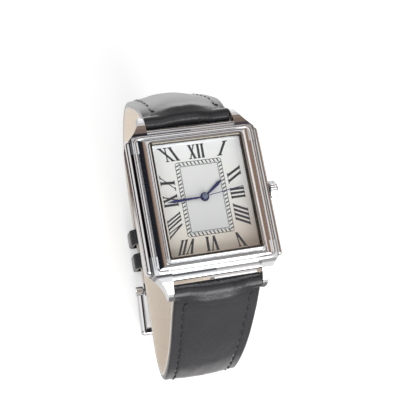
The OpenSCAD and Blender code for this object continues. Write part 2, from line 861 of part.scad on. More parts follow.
// Lining at the leather's own stations, so that the two meet face to face
module lining(runs, p, s0, s1, l, round_tip) {
    s = [for (x = stations(0, l, station_step, round_tip)) if (x >= s0 && x <= s1) x];
    sweep([for (x = s) lining_section(half_width(x, l, round_tip))],
        [for (x = s) route_point(runs, x, p)]);
}

// Rolled end of the strap round its spring bar
module bar_barrel() {
    translate([0, bar_y, bar_z])
        rotate([0, 90, 0])
            cylinder(r = barrel_r, h = strap_w, center = true);
}

module bar_bore() {
    translate([0, bar_y, bar_z])
        rotate([0, 90, 0])
            cylinder(r = bar_r + 0.08, h = 2 * strap_w, center = true);
}

// Slot for the buckle's tongue, cut from the end of the short half
module tongue_slot() {
    translate([-slot_w / 2, end_12[0] - 2 * buckle_barrel_r, end_12[1] - 4 * buckle_barrel_r])
        cube([slot_w, 2 * buckle_barrel_r + slot_l, 8 * buckle_barrel_r]);
}

module strap_12_leather() {
    color([0.2, 0.2, 0.22])
        difference() {
            union() {
                leather(runs_12, p_12, length_12, false);
                bar_barrel();
                translate([0, end_12[0], end_12[1]])
                    rotate([0, 90, 0])
                        cylinder(r = buckle_barrel_r, h = strap_w_buckle, center = true);
            }
            bar_bore();
            translate([0, end_12[0], end_12[1]])
                rotate([0, 90, 0])
                    cylinder(r = buckle_pin_d / 2 + seat_gap, h = 2 * strap_w, center = true);
            tongue_slot();
        }
}

module strap_12_lining() {
    color([0.9, 0.84, 0.76])
        difference() {
            lining(runs_12, p_12, lining_start, length_12 - lining_end, length_12, false);
            tongue_slot();
        }
}

// Size holes along the long half
module size_hole_row() {
    for (k = [0:size_holes - 1]) {
        q = route_point(runs_6, length_6 - first_hole - k * hole_pitch, p_6);
        translate([0, q[0], q[1]])
            rotate([-q[2], 0, 0])
                cylinder(r = hole_d / 2, h = 4 * (leather_t + padding_t), center = true);
    }
}

module strap_6_leather() {
    color([0.2, 0.2, 0.22])
        mirror([0, 1, 0])
            difference() {
                union() {
                    leather(runs_6, p_6, length_6, true);
                    bar_barrel();
                }
                bar_bore();
                size_hole_row();
            }
}

module strap_6_lining() {
    color([0.9, 0.84, 0.76])
        mirror([0, 1, 0])
            difference() {
                lining(runs_6, p_6, lining_start, length_6, length_6, true);
                size_hole_row();
            }
}

// Loop of leather across the short half, with room for the long half
module keeper(y) {
    w = strap_w_buckle + 2 * keeper_side_gap;
    top = flat_12[1] + lining_t + leather_gap;
    low = flat_12[1] - leather_t - padding_t * 0.3 - keeper_room;
    translate([0, y + keeper_l / 2, (top + low) / 2])
        rotate([90, 0, 0])
            linear_extrude(keeper_l)
                difference() {
                    rounded(w + 2 * keeper_t, top - low + 2 * keeper_t, 2 * keeper_r);
                    rounded(w, top - low, keeper_r);
                }
}

module fixed_keeper() {
    color([0.18, 0.18, 0.2])
        keeper(end_12[0] + fixed_keeper_at);
}

module free_keeper() {
    color([0.18, 0.18, 0.2])
        keeper(end_12[0] + free_keeper_at);
}

module buckle_frame() {
    arm_x = (buckle_span + buckle_wire_d) / 2;
    r = buckle_wire_d / 2;
    color([0.8, 0.81, 0.83])
        translate([0, end_12[0], end_12[1]])
            rotate([buckle_droop, 0, 0])
                difference() {
                    union() {
                        for (x = [-1, 1]) {
                            translate([x * arm_x, 0, 0])
                                rotate([0, 90, 0])
                                    cylinder(r = r + eye_wall, h = 2 * (r - arm_taper), center = true);
                            translate([x * arm_x, 0, 0])
                                rotate([90, 0, 0])
                                    cylinder(r = r - arm_taper, h = buckle_l);
                            translate([x * arm_x, -buckle_l, 0])
                                sphere(r);
                        }
                        translate([0, -buckle_l, 0])
                            rotate([0, 90, 0])
                                cylinder(r = r, h = 2 * arm_x, center = true);
                    }
                    rotate([0, 90, 0])
                        cylinder(r = buckle_pin_d / 2 + run_fit, h = 4 * arm_x, center = true);
                    translate([-tongue_w / 2 - tongue_side_gap, -buckle_l - 2, -r - 1])
                        cube([tongue_w + 2 * tongue_side_gap, 4, 1 + tongue_seat]);
                }
}

module buckle_pin() {
    color([0.7, 0.7, 0.72])
        translate([0, end_12[0], end_12[1]])
            rotate([0, 90, 0])
                cylinder(r = buckle_pin_d / 2, h = buckle_span + 2 * buckle_wire_d - 4 * arm_taper, center = true);
}

module buckle_tongue() {
    color([0.8, 0.81, 0.83])
        translate([0, end_12[0], end_12[1]])
            rotate([buckle_droop, 0, 0])
                difference() {
                    union() {
                        rotate([0, 90, 0])
                            cylinder(r = tongue_eye_r, h = tongue_w, center = true);
                        rotate([tongue_tilt, 0, 0])
                            translate([-tongue_w / 2, -buckle_l - tongue_over, -0.5])
                                cube([tongue_w, buckle_l + tongue_over, tongue_t]);
                    }
                    rotate([0, 90, 0])
                        cylinder(r = buckle_pin_d / 2 + run_fit, h = 2 * tongue_w, center = true);
                }
}

case_body();
bezel();
crystal();
crystal_gasket();
dial_ring();
dial();
movement_holder();
main_plate();
circuit_board();
battery();
battery_clip();
coil();
stator();
quartz_can();
train_bridge();
case_back();
back_gasket();
case_back_screws();
crown_tube();
crown();
crown_gasket();
stem();
setting_pinion();
hour_hand();
hour_wheel();
minute_hand();
cannon_pinion();
minute_wheel();
second_hand();
seconds_wheel();
spring_bar(bar_y);  // spring_bar_12
spring_bar(-bar_y);  // spring_bar_6
strap_12_leather();
strap_12_lining();
strap_6_leather();
strap_6_lining();
fixed_keeper();
free_keeper();
buckle_frame();
buckle_pin();
buckle_tongue();
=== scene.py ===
from math import ceil, cos, exp, pi, radians, sin, sqrt

import bmesh
import bpy
from mathutils import Matrix, Vector, noise


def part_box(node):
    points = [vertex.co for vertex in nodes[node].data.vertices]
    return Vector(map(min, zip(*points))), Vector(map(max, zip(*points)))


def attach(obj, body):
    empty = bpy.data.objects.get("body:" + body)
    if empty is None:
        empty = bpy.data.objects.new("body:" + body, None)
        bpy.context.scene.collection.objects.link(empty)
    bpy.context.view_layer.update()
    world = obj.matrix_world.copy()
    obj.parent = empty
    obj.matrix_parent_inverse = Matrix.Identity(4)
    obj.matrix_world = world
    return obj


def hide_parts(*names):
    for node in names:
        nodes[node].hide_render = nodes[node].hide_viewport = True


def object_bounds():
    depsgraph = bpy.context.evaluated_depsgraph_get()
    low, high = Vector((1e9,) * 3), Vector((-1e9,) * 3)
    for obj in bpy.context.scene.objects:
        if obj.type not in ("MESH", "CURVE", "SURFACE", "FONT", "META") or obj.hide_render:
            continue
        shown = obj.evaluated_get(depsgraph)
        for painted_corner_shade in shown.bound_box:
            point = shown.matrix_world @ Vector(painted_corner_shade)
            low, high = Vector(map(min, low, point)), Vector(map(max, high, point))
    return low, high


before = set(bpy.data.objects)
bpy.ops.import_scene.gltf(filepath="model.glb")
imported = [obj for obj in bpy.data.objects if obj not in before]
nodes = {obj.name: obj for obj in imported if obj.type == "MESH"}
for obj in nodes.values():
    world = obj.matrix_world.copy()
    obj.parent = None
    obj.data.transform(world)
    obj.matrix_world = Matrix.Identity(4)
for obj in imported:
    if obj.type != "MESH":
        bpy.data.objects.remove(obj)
cad_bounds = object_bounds()

# Camera: a long lens about 20 cm in front of the dial, from its lower left,
# turned so that the watch leans to the left in the frame.
VIEW_LEFT = radians(13.3)
VIEW_BELOW = radians(12.0)
VIEW_ROLL = radians(-10.6)
CAMERA_DISTANCE = 0.205
PIXELS_PER_METRE = 4465
FRAME_PIXELS = 400
AIM_RIGHT_PIXELS, AIM_UP_PIXELS = 0.4, 3.2
SENSOR_MM = 36
toward_camera = Vector((-sin(VIEW_LEFT) * cos(VIEW_BELOW), -sin(VIEW_BELOW),
                        cos(VIEW_LEFT) * cos(VIEW_BELOW)))
level_right = (-toward_camera).cross(Vector((0, 1, 0))).normalized()
level_up = level_right.cross(-toward_camera)
right = level_right * cos(VIEW_ROLL) + level_up * sin(VIEW_ROLL)
up = level_up * cos(VIEW_ROLL) - level_right * sin(VIEW_ROLL)
aim = (right * AIM_RIGHT_PIXELS + up * AIM_UP_PIXELS) / PIXELS_PER_METRE
camera = bpy.data.objects.new("camera", bpy.data.cameras.new("camera"))
bpy.context.scene.collection.objects.link(camera)
camera.data.sensor_fit = "HORIZONTAL"
camera.data.sensor_width = SENSOR_MM
camera.data.lens = SENSOR_MM * PIXELS_PER_METRE * CAMERA_DISTANCE / FRAME_PIXELS
camera.data.clip_start = 0.005
turn = Matrix((right, up, toward_camera)).transposed().to_4x4()
camera.matrix_world = Matrix.Translation(aim + toward_camera * CAMERA_DISTANCE) @ turn
bpy.context.scene.camera = camera
bpy.context.scene.view_settings.view_transform = "Standard"

# Room: plain light from all round for matt surfaces, and white to the camera. What
# polished metal sees is a studio: white overhead and towards 6 o'clock, brown walls to
# the right and behind, and a dark flag above a tan wall to the left.
PLAIN_LIGHT = 0.5
world = bpy.data.worlds.new("room")
world.use_nodes = True
bpy.context.scene.world = world
wires = world.node_tree
wires.nodes.clear()


def add_node(tree, kind, values=(), **settings):
    """A node in tree, with its settings, and its inputs set by name."""
    made = tree.nodes.new(kind)
    for key, value in settings.items():
        setattr(made, key, value)
    for key, value in dict(values).items():
        made.inputs[key].default_value = value
    return made


def shaded_place(tree, space="Object"):
    """x, y and z of the point that is shaded, or with Generated in the world of the direction."""
    split = add_node(tree, "ShaderNodeSeparateXYZ")
    tree.links.new(add_node(tree, "ShaderNodeTexCoord").outputs[space], split.inputs[0])
    return split.outputs


def ramp(tree, factor, stops):
    """A colour ramp on factor through stops of a position and a colour or a grey."""
    made = add_node(tree, "ShaderNodeValToRGB")
    band = made.color_ramp.elements
    while len(band) < len(stops):
        band.new(1.0)
    for element, (position, colour) in zip(band, stops):
        element.position = position
        element.color = (*colour, 1) if isinstance(colour, tuple) else (colour, colour, colour, 1)
    tree.links.new(factor, made.inputs[0])
    return made.outputs["Color"]


def math(tree, operation, *operands, clamp=False):
    """An operation on operands that are numbers or other nodes' outputs."""
    made = add_node(tree, "ShaderNodeMath", operation=operation, use_clamp=clamp)
    for socket, value in zip(made.inputs, operands):
        if isinstance(value, (int, float)):
            socket.default_value = value
        else:
            tree.links.new(value, socket)
    return made.outputs[0]


def mix_colour(tree, factor, a, b, blend="MIX"):
    """Colours a and b mixed by factor; each may be a value or another node's output."""
    made = add_node(tree, "ShaderNodeMix", data_type="RGBA", blend_type=blend)
    for socket, value in zip((made.inputs[0], made.inputs[6], made.inputs[7]), (factor, a, b)):
        if isinstance(value, (int, float)):
            socket.default_value = value
        elif isinstance(value, tuple):
            socket.default_value = (*value, 1)
        else:
            tree.links.new(value, socket)
    return made.outputs[2]


def mix_shader(tree, factor, a, b):
    """Shaders a and b mixed by factor, all of them other nodes' outputs."""
    made = add_node(tree, "ShaderNodeMixShader")
    for socket, value in zip(made.inputs, (factor, a, b)):
        tree.links.new(value, socket)
    return made.outputs[0]


dir_x, dir_y, dir_z = shaded_place(wires, "Generated")
height = math(wires, "MULTIPLY_ADD", dir_z, 0.5, 0.5)
walls = ramp(wires, height, [
    (0.0, (0.45, 0.44, 0.43)), (0.40, (0.38, 0.32, 0.28)), (0.50, (0.32, 0.21, 0.15)),
    (0.74, (0.28, 0.18, 0.125)), (0.90, (0.22, 0.15, 0.12)), (0.95, (0.32, 0.29, 0.28)), (0.97, 0.90), (1.0, 1.0)])
flag = ramp(wires, height, [
    (0.0, (0.42, 0.40, 0.38)), (0.50, (0.52, 0.48, 0.45)), (0.58, (0.42, 0.29, 0.21)),
    (0.645, (0.34, 0.23, 0.17)), (0.685, (0.014, 0.016, 0.022)), (0.865, (0.010, 0.012, 0.02)),
    (0.895, 0.90), (1.0, 1.0)])
wall_behind = ramp(wires, height, [
    (0.0, 0.60), (0.50, (0.75, 0.74, 0.73)), (0.62, (0.70, 0.68, 0.66)), (0.67, (0.30, 0.23, 0.19)),
    (0.84, (0.20, 0.15, 0.12)), (0.87, (0.05, 0.07, 0.12)), (0.91, (0.10, 0.12, 0.18)), (0.94, 0.90), (1.0, 1.0)])
window = ramp(wires, height, [(0.0, 0.9), (0.48, 1.0), (1.0, 1.0)])
to_left = math(wires, "MULTIPLY_ADD", dir_x, -2.2, -0.3, clamp=True)
to_back = math(wires, "MULTIPLY_ADD", dir_y, 2.2, -0.7, clamp=True)
to_front = math(wires, "MULTIPLY_ADD", dir_y, -3.0, -0.25, clamp=True)
studio = mix_colour(wires, to_left, mix_colour(wires, to_back, walls, wall_behind), flag)
studio = mix_colour(wires, to_front, studio, window)
path = add_node(wires, "ShaderNodeLightPath").outputs
reflected = math(wires, "MAXIMUM", path["Is Glossy Ray"], path["Is Transmission Ray"])
plain = add_node(wires, "ShaderNodeBackground", {"Color": (1, 1, 1, 1), "Strength": PLAIN_LIGHT})
white = add_node(wires, "ShaderNodeBackground", {"Color": (1, 1, 1, 1), "Strength": 1.0})
mirrored = add_node(wires, "ShaderNodeBackground", {"Strength": 1.0})
wires.links.new(studio, mirrored.inputs["Color"])
unseen = mix_shader(wires, reflected, plain.outputs[0], mirrored.outputs[0])
seen = mix_shader(wires, path["Is Camera Ray"], unseen, white.outputs[0])
wires.links.new(seen, add_node(wires, "ShaderNodeOutputWorld").inputs[0])

# Lamps: three soft boxes. A square key and a long low one stand towards 6 o'clock, and a
# weaker fill, which metal doesn't mirror, stands to the left.
for lamp_name, lamp_place, lamp_width, lamp_height, lamp_power in [
    ("key", (0.08, -0.52, 0.36), 0.45, 0.45, 2.6),
    ("fill", (-0.42, 0.20, 0.40), 0.40, 0.40, 0.7),
    ("low", (0.13, -0.57, 0.12), 0.80, 0.10, 0.9),
]:
    lamp_data = bpy.data.lights.new(lamp_name, "AREA")
    lamp_data.shape = "RECTANGLE"
    lamp_data.size = lamp_width
    lamp_data.size_y = lamp_height
    lamp_data.energy = lamp_power
    lamp = bpy.data.objects.new(lamp_name, lamp_data)
    lamp.location = lamp_place
    lamp.visible_glossy = lamp_name != "fill"
    lamp.rotation_euler = Vector(lamp_place).to_track_quat("Z", "Y").to_euler()
    bpy.context.scene.collection.objects.link(lamp)

# Floor: a sheet of pale paper on which the watch stands, even and bright to the camera.
# Metal sees bands across it instead: dark in front, pale under the watch, brown under
# its 12 o'clock end and white beyond.
FLOOR_GAP, FLOOR_REACH = 0.0002, 3.0
FLOOR_Z = cad_bounds[0][2] - FLOOR_GAP
FLOOR_PAPER = (0.86, 0.86, 0.86)
FLOOR_GLOW = 0.42


def new_material(name, base, **values):
    """A material and its node tree, with the Principled shader's values set by socket name."""
    material = bpy.data.materials.new(name)
    material.use_nodes = True
    surface = material.node_tree.nodes["Principled BSDF"]
    surface.inputs["Base Color"].default_value = (*base, 1)
    for key, value in values.items():
        surface.inputs[key.replace("_", " ")].default_value = value
    return material, material.node_tree


def feed(tree, socket_name, output):
    """Another node's output fed to the Principled shader."""
    tree.links.new(output, tree.nodes["Principled BSDF"].inputs[socket_name])


def add_bump(tree, relief, strength, distance):
    """Fine relief on a material, from another node's output."""
    bump = add_node(tree, "ShaderNodeBump", {"Strength": strength, "Distance": distance})
    tree.links.new(relief, bump.inputs["Height"])
    feed(tree, "Normal", bump.outputs[0])


def new_piece(name, shape, material, body=None):
    """A piece made from (points in metres, faces), riding on body."""
    mesh = bpy.data.meshes.new(name)
    mesh.from_pydata(shape[0], [], shape[1])
    mesh.update()
    mesh.materials.append(material)
    piece = bpy.data.objects.new(name, mesh)
    bpy.context.scene.collection.objects.link(piece)
    if body:
        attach(piece, body)
    return piece


floor_material, floor_tree = new_material("floor_paper", FLOOR_PAPER, Roughness=0.9)
floor_path = add_node(floor_tree, "ShaderNodeLightPath").outputs
floor_grain = add_node(floor_tree, "ShaderNodeTexNoise", {"Scale": 900.0, "Detail": 3.0})
add_bump(floor_tree, floor_grain.outputs["Fac"], 0.02, 0.0001)
floor_seen = math(floor_tree, "MAXIMUM", floor_path["Is Camera Ray"],
                  math(floor_tree, "MAXIMUM", floor_path["Is Glossy Ray"], floor_path["Is Transmission Ray"]))
feed(floor_tree, "Emission Strength", math(floor_tree, "MULTIPLY", floor_seen, FLOOR_GLOW))
floor_along = math(floor_tree, "MULTIPLY_ADD", shaded_place(floor_tree)[1], 10.0, 0.5, clamp=True)
floor_bands = ramp(floor_tree, floor_along, [
    (0.0, (0.12, 0.115, 0.11)), (0.15, (0.22, 0.21, 0.20)), (0.28, (0.60, 0.59, 0.58)), (0.58, (0.62, 0.61, 0.60)),
    (0.66, (0.14, 0.10, 0.09)), (0.82, (0.10, 0.07, 0.065)), (0.92, 0.70), (1.0, 0.90)])
for socket_name, colour in (("Emission Color", (1.0, 1.0, 1.0)), ("Base Color", FLOOR_PAPER)):
    feed(floor_tree, socket_name, mix_colour(floor_tree, floor_path["Is Glossy Ray"], colour, floor_bands))
floor_corners = [(x * FLOOR_REACH, y * FLOOR_REACH, FLOOR_Z) for x, y in ((-1, -1), (1, -1), (1, 1), (-1, 1))]
floor = new_piece("floor", (floor_corners, [(0, 1, 2, 3)]), floor_material)

# Case body and dial ring: steel, machined to steps, polished and plated bright. The bead
# round the frame is brushed to a satin gloss, the grooves outside it are painted near black as
# painted shade, and the half on the crown's side is painted a little warmer as a painted brown reflection.
MM = 0.001
STEEL = (0.80, 0.81, 0.83)
WARM_REFLECTION_STEEL = (0.80, 0.78, 0.77)
WARM_REFLECTION_SHARE = 0.4
FRAME_BEAD_X, FRAME_BEAD_Y = 13.17, 14.92
HAIR_SCALE, HAIR_TURN, HAIR_DEPTH = (9000, 500, 9000), (0.3, 0.5, 0.4), 0.00002
SMEAR_FROM = 0.4


def placed_node(tree, kind, values=(), **settings):
    """A node whose Vector input is the object's own coordinates."""
    made = add_node(tree, kind, values, **settings)
    tree.links.new(add_node(tree, "ShaderNodeTexCoord").outputs["Object"], made.inputs["Vector"])
    return made


def effect_group(name, inputs, outputs):
    """An empty shader node group with float inputs (name, value) and float outputs."""
    group = bpy.data.node_groups.new(name, "ShaderNodeTree")
    for socket_name, value in inputs:
        socket = group.interface.new_socket(name=socket_name, in_out="INPUT", socket_type="NodeSocketFloat")
        socket.default_value = value
    for socket_name in outputs:
        group.interface.new_socket(name=socket_name, in_out="OUTPUT", socket_type="NodeSocketFloat")
    return group, group.nodes.new("NodeGroupInput").outputs, group.nodes.new("NodeGroupOutput").inputs


def use_group(tree, group, **values):
    """group placed in tree with its inputs set by name."""
    made = add_node(tree, "ShaderNodeGroup", node_tree=group)
    for key, value in values.items():
        made.inputs[key].default_value = value
    return made.outputs


# Polish marks: faint smears in the shine, and hairlines that only a light shows.
polish, polish_in, polish_out = effect_group("polish_marks", [("Shine", 0.06), ("Smear", 0.05)],
                                             ("Roughness", "Height"))
smear = placed_node(polish, "ShaderNodeTexNoise", {"Scale": 180.0, "Detail": 4.0, "Roughness": 0.6})
smeared = math(polish, "SUBTRACT", smear.outputs["Fac"], SMEAR_FROM, clamp=True)
smeared = math(polish, "MULTIPLY", smeared, polish_in["Smear"])
polish.links.new(math(polish, "ADD", polish_in["Shine"], smeared), polish_out["Roughness"])
hair_place = placed_node(polish, "ShaderNodeMapping", {"Scale": HAIR_SCALE, "Rotation": HAIR_TURN})
hairs = add_node(polish, "ShaderNodeTexNoise", {"Scale": 1.0, "Detail": 2.0})
polish.links.new(hair_place.outputs[0], hairs.inputs["Vector"])
polish.links.new(hairs.outputs["Fac"], polish_out["Height"])


def metal(name, base, shine, smear_amount, hairline):
    """A metal whose roughness and fine marks come from the polish group."""
    material, tree = new_material(name, base, Metallic=1.0)
    marks = use_group(tree, polish, Shine=shine, Smear=smear_amount)
    feed(tree, "Roughness", marks["Roughness"])
    add_bump(tree, marks["Height"], hairline, HAIR_DEPTH)
    return material


def dress(material, *node_names):
    """Gives CAD nodes their finish."""
    for node_name in node_names:
        slots = nodes[node_name].data.materials
        slots.clear()
        slots.append(material)


def outside(tree, half_width_mm, half_length_mm):
    """Distance in mm outwards from a rectangle round the centre of the dial."""
    place = shaded_place(tree)
    beyond = [math(tree, "MULTIPLY_ADD", math(tree, "ABSOLUTE", place[axis]), 1 / MM, -half)
              for axis, half in ((0, half_width_mm), (1, half_length_mm))]
    return math(tree, "MAXIMUM", *beyond)


case_chrome = metal("case_chrome", STEEL, 0.11, 0.06, 0.01)
case_tree = case_chrome.node_tree
from_bead = outside(case_tree, FRAME_BEAD_X, FRAME_BEAD_Y)
# Painted shade: a band about 0.5 to 1.3 mm outside the frame bead is painted near black.
groove_painted_shade = ramp(case_tree, math(case_tree, "MULTIPLY", from_bead, 0.5),
               [(0.25, STEEL), (0.32, (0.10, 0.10, 0.11)), (0.50, (0.12, 0.12, 0.13)), (0.66, STEEL)])
# Painted reflection: the half on the crown's side (x above 0) is tinted warmer, standing for a brown wall mirrored
# there.
painted_warm_side = math(case_tree, "MULTIPLY", math(case_tree, "GREATER_THAN", shaded_place(case_tree)[0], 0.0), WARM_REFLECTION_SHARE)
feed(case_tree, "Base Color", mix_colour(case_tree, painted_warm_side, groove_painted_shade, WARM_REFLECTION_STEEL))
satin = ramp(case_tree, math(case_tree, "ABSOLUTE", from_bead), [(0.48, 0.08), (0.60, 0.0)])
case_shine = case_tree.nodes["Principled BSDF"].inputs["Roughness"].links[0].from_socket
feed(case_tree, "Roughness", math(case_tree, "ADD", case_shine, satin))
dress(case_chrome, "case_body", "dial_ring")

# Bezel: the same steel, pressed on from the front, where it holds the crystal. Its bead
# is bright, and its inner wall round the window is painted dark as painted shade.
WINDOW_X, WINDOW_Y = 9.85, 12.5
bezel_chrome = metal("bezel_chrome", STEEL, 0.11, 0.06, 0.01)
bezel_tree = bezel_chrome.node_tree
# Painted shade: the bezel's inner wall, within about 0.6 mm outside the window's edge, is painted dark brown-grey.
feed(bezel_tree, "Base Color", ramp(bezel_tree, outside(bezel_tree, WINDOW_X, WINDOW_Y),
                                    [(0.0, (0.11, 0.10, 0.085)), (0.45, (0.13, 0.12, 0.10)), (0.63, STEEL)]))
dress(bezel_chrome, "bezel")

# Case back and its four screws: pressed steel, brushed lengthwise. The screws hold it
# from behind, over its gasket.
dress(metal("brushed_steel", (0.60, 0.61, 0.62), 0.28, 0.12, 0.5), "case_back", "case_back_screws")

# Crown, stem and tube: turned steel. The crown has flutes to grip, and turns with the
# stem, which runs through the tube in the case's side.
crown_steel = metal("crown_steel", STEEL, 0.20, 0.08, 0.05)
dress(crown_steel, "crown", "stem", "crown_tube")

# Crystal: flat mineral glass, ground and polished, and set in a gasket. Its coating takes
# away half of the reflection that bare glass has, which the low index stands for.
glass, glass_tree = new_material("crystal_glass", (1.0, 1.0, 1.0), Roughness=0.0, IOR=1.33, Transmission_Weight=1.0)
glass_path = add_node(glass_tree, "ShaderNodeLightPath").outputs
lets_light = add_node(glass_tree, "ShaderNodeBsdfTransparent", {"Color": (0.97, 0.98, 0.98, 1)})
lit_through = math(glass_tree, "MAXIMUM", glass_path["Is Shadow Ray"], glass_path["Is Diffuse Ray"])
glass_look = mix_shader(glass_tree, lit_through, glass_tree.nodes["Principled BSDF"].outputs[0],
                        lets_light.outputs[0])
glass_tree.links.new(glass_look, glass_tree.nodes["Material Output"].inputs[0])
dress(glass, "crystal")

# Gaskets: a moulded ring of white plastic that holds the crystal in the bezel, and rings
# of black rubber that lie under the case back and round the crown's tube.


def speckled(name, base, other, scale, roughness, bump_depth, detail=5.0, spread=0.5, bump=0.4):
    """A plain finish that mottles between two colours, with a fine uneven surface."""
    material, tree = new_material(name, base)
    spots = placed_node(tree, "ShaderNodeTexNoise", {"Scale": scale, "Detail": detail}).outputs["Fac"]
    feed(tree, "Base Color", mix_colour(tree, spots, base, other))
    feed(tree, "Roughness", math(tree, "MULTIPLY_ADD", spots, roughness * spread, roughness * (1 - spread / 2)))
    add_bump(tree, spots, bump, bump_depth)
    return material


dress(speckled("gasket_plastic", (0.82, 0.82, 0.80), (0.76, 0.76, 0.73), 1500, 0.35, 1e-5), "crystal_gasket")
dress(speckled("gasket_rubber", (0.03, 0.03, 0.03), (0.05, 0.05, 0.05), 3000, 0.7, 2e-5),
      "back_gasket", "crown_gasket")

# Movement: a plate, bridge, clip and wheels in gilt brass, a stator, cans and cannon pinion
# in steel, a copper coil and a green board. They are built up in layers on the plate, and a
# moulded holder of pale plastic centres them in the case.
dress(speckled("holder_plastic", (0.80, 0.80, 0.77), (0.74, 0.74, 0.70), 900, 0.5, 1e-5), "movement_holder")
dress(speckled("board_green", (0.02, 0.16, 0.07), (0.03, 0.22, 0.10), 700, 0.4, 1e-5), "circuit_board")
dress(metal("brass_gilt", (0.72, 0.54, 0.26), 0.25, 0.15, 0.3), "main_plate", "train_bridge", "setting_pinion",
      "hour_wheel", "minute_wheel", "seconds_wheel", "battery_clip")
dress(metal("pinion_steel", (0.55, 0.56, 0.58), 0.2, 0.1, 0.2), "cannon_pinion", "stator", "battery", "quartz_can")
dress(metal("coil_copper", (0.62, 0.26, 0.11), 0.35, 0.1, 0.6), "coil")

# Dial: a stamped plate on the movement, lacquered cream, with silver inside the printed
# track. Both are painted darker towards 6 o'clock, the cream also warmer, and the cream darker still in the corner
# between 3 and 6, as painted shade under the bezel's wall.
DIAL_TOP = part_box("dial")[1].z
TRACK_W, TRACK_L, TRACK_BAND = 10.5, 16.8, 0.95
dial_finish, dial_tree = new_material("dial_cream", (0.80, 0.77, 0.70), Roughness=0.38)
dial_x, dial_y, _ = shaded_place(dial_tree)
inside = math(dial_tree, "MULTIPLY", *(
    math(dial_tree, "LESS_THAN", math(dial_tree, "ABSOLUTE", place), (size - TRACK_BAND) / 2 * MM)
    for place, size in ((dial_x, TRACK_W), (dial_y, TRACK_L))))
up_dial = math(dial_tree, "MULTIPLY_ADD", dial_y, 40.0, 0.5)
# Painted shade: the cream is darker and warmer towards 6 o'clock.
cream_painted_shade = ramp(dial_tree, up_dial, [(0.0, (0.82, 0.70, 0.57)), (0.13, (0.87, 0.79, 0.70)), (0.35, (0.87, 0.84, 0.80)),
                                  (0.72, (0.92, 0.90, 0.87)), (1.0, 0.97)])
# Painted shade: the silver is darker towards 6 o'clock.
silver_painted_shade = ramp(dial_tree, up_dial, [(0.15, (0.70, 0.695, 0.69)), (0.85, (0.85, 0.84, 0.835))])
# Painted shade: the cream is darkened towards the corner between 3 and 6.
to_corner = math(dial_tree, "SUBTRACT", math(dial_tree, "MULTIPLY", dial_x, 50.0),
                 math(dial_tree, "MULTIPLY", dial_y, 40.0))
painted_corner_shade = ramp(dial_tree, to_corner, [(0.30, 1.0), (0.62, (0.86, 0.83, 0.82)), (1.0, (0.58, 0.50, 0.46))])
cream_painted_shade = mix_colour(dial_tree, 1.0, cream_painted_shade, painted_corner_shade, "MULTIPLY")
feed(dial_tree, "Base Color", mix_colour(dial_tree, inside, cream_painted_shade, silver_painted_shade))
dial_spots = add_node(dial_tree, "ShaderNodeTexNoise", {"Scale": 2500.0, "Detail": 4.0})
add_bump(dial_tree, dial_spots.outputs["Fac"], 0.25, 0.000005)
dress(dial_finish, "dial")

# Numerals: Roman, printed on the dial in black ink, with their feet along the track and
# their heads along the window, so that the ones near the corners lean outwards.
INK_HEIGHT = 0.00002
THICK_STROKE = 0.60
THIN_STROKE = 0.25
SERIF = 0.065
LETTER_UNITS = {"I": 1.0, "V": 2.4, "X": 2.4}
LETTER_GAP = 0.3
FILL_SHARE = 0.74
# For each side, in mm: its foot line, its head line, whether it runs along x, and for each
# numeral the left and right end on its foot line, then on its head line.
SIDES = [
    (8.85, 12.1, True, [("XI", -7.0, -3.8, -8.6, -5.4), ("XII", -1.78, 1.78, -1.8, 1.86),
                        ("I", 4.5, 5.7, 6.35, 7.45)]),
    (5.95, 9.14, False, [("II", 4.55, 2.15, 6.2, 4.1), ("III", 1.22, -1.25, 1.22, -1.25),
                         ("IIII", -2.25, -6.0, -3.75, -7.6)]),
    (-8.75, -11.95, True, [("V", 6.4, 4.5, 7.5, 5.5), ("VI", 1.25, -1.5, 1.2, -1.6),
                           ("VII", -3.4, -6.8, -4.75, -8.15)]),
    (-5.95, -9.14, False, [("VIII", -5.9, -2.4, -8.3, -4.2), ("IX", -1.2, 1.5, -1.2, 1.4),
                           ("X", 2.15, 4.5, 3.75, 6.0)]),
]
ink = speckled("dial_ink", (0.006, 0.006, 0.009), (0.014, 0.014, 0.018), 9000, 0.45, 0.000004,
               detail=3.0, spread=0.0, bump=0.2)


def lofted(rings):
    """Points and faces of a closed solid through rings that have as many points each."""
    n = len(rings[0])
    points = [point for ring in rings for point in ring]
    faces = [tuple(reversed(range(n))), tuple(range(len(points) - n, len(points)))]
    faces += [(row * n + k, row * n + (k + 1) % n, (row + 1) * n + (k + 1) % n, (row + 1) * n + k)
              for row in range(len(rings) - 1) for k in range(n)]
    return points, faces


def joined(shapes):
    """One shape from many, each of them (points, faces)."""
    points, faces = [], []
    for some_points, some_faces in shapes:
        start = len(points)
        points += some_points
        faces += [tuple(start + i for i in face) for face in some_faces]
    return points, faces


def printed(outlines):
    """One layer of ink on the dial from many outlines in mm."""
    shapes = []
    for outline in outlines:
        area = sum(a[0] * b[1] - b[0] * a[1] for a, b in zip(outline, outline[1:] + outline[:1]))
        ring = [(x * MM, y * MM) for x, y in (outline if area > 0 else outline[::-1])]
        shapes.append(lofted([[(x, y, z) for x, y in ring] for z in (DIAL_TOP, DIAL_TOP + INK_HEIGHT)]))
    return joined(shapes)


def letter_strokes(letter, a, b):
    """Strokes and serifs of a letter between a and b along its numeral.

    A stroke is where its foot and its head lie and its share of a thick stroke, and a serif is
    its two ends and whether it is at the foot (0) or the head (1).
    """
    w = b - a
    middle = (a + b) / 2
    if letter == "I":
        return [(middle, middle, 1.0)], [(a, b, 0), (a, b, 1)]
    if letter == "V":
        return ([(middle, a + 0.2 * w, 1.0), (middle + 0.03 * w, b - 0.16 * w, 0.42)],
                [(a, a + 0.42 * w, 1), (b - 0.34 * w, b, 1)])
    return ([(b - 0.2 * w, a + 0.2 * w, 1.0), (a + 0.17 * w, b - 0.17 * w, 0.42)],
            [(a, a + 0.42 * w, 1), (b - 0.36 * w, b, 1), (a, a + 0.36 * w, 0), (b - 0.42 * w, b, 0)])


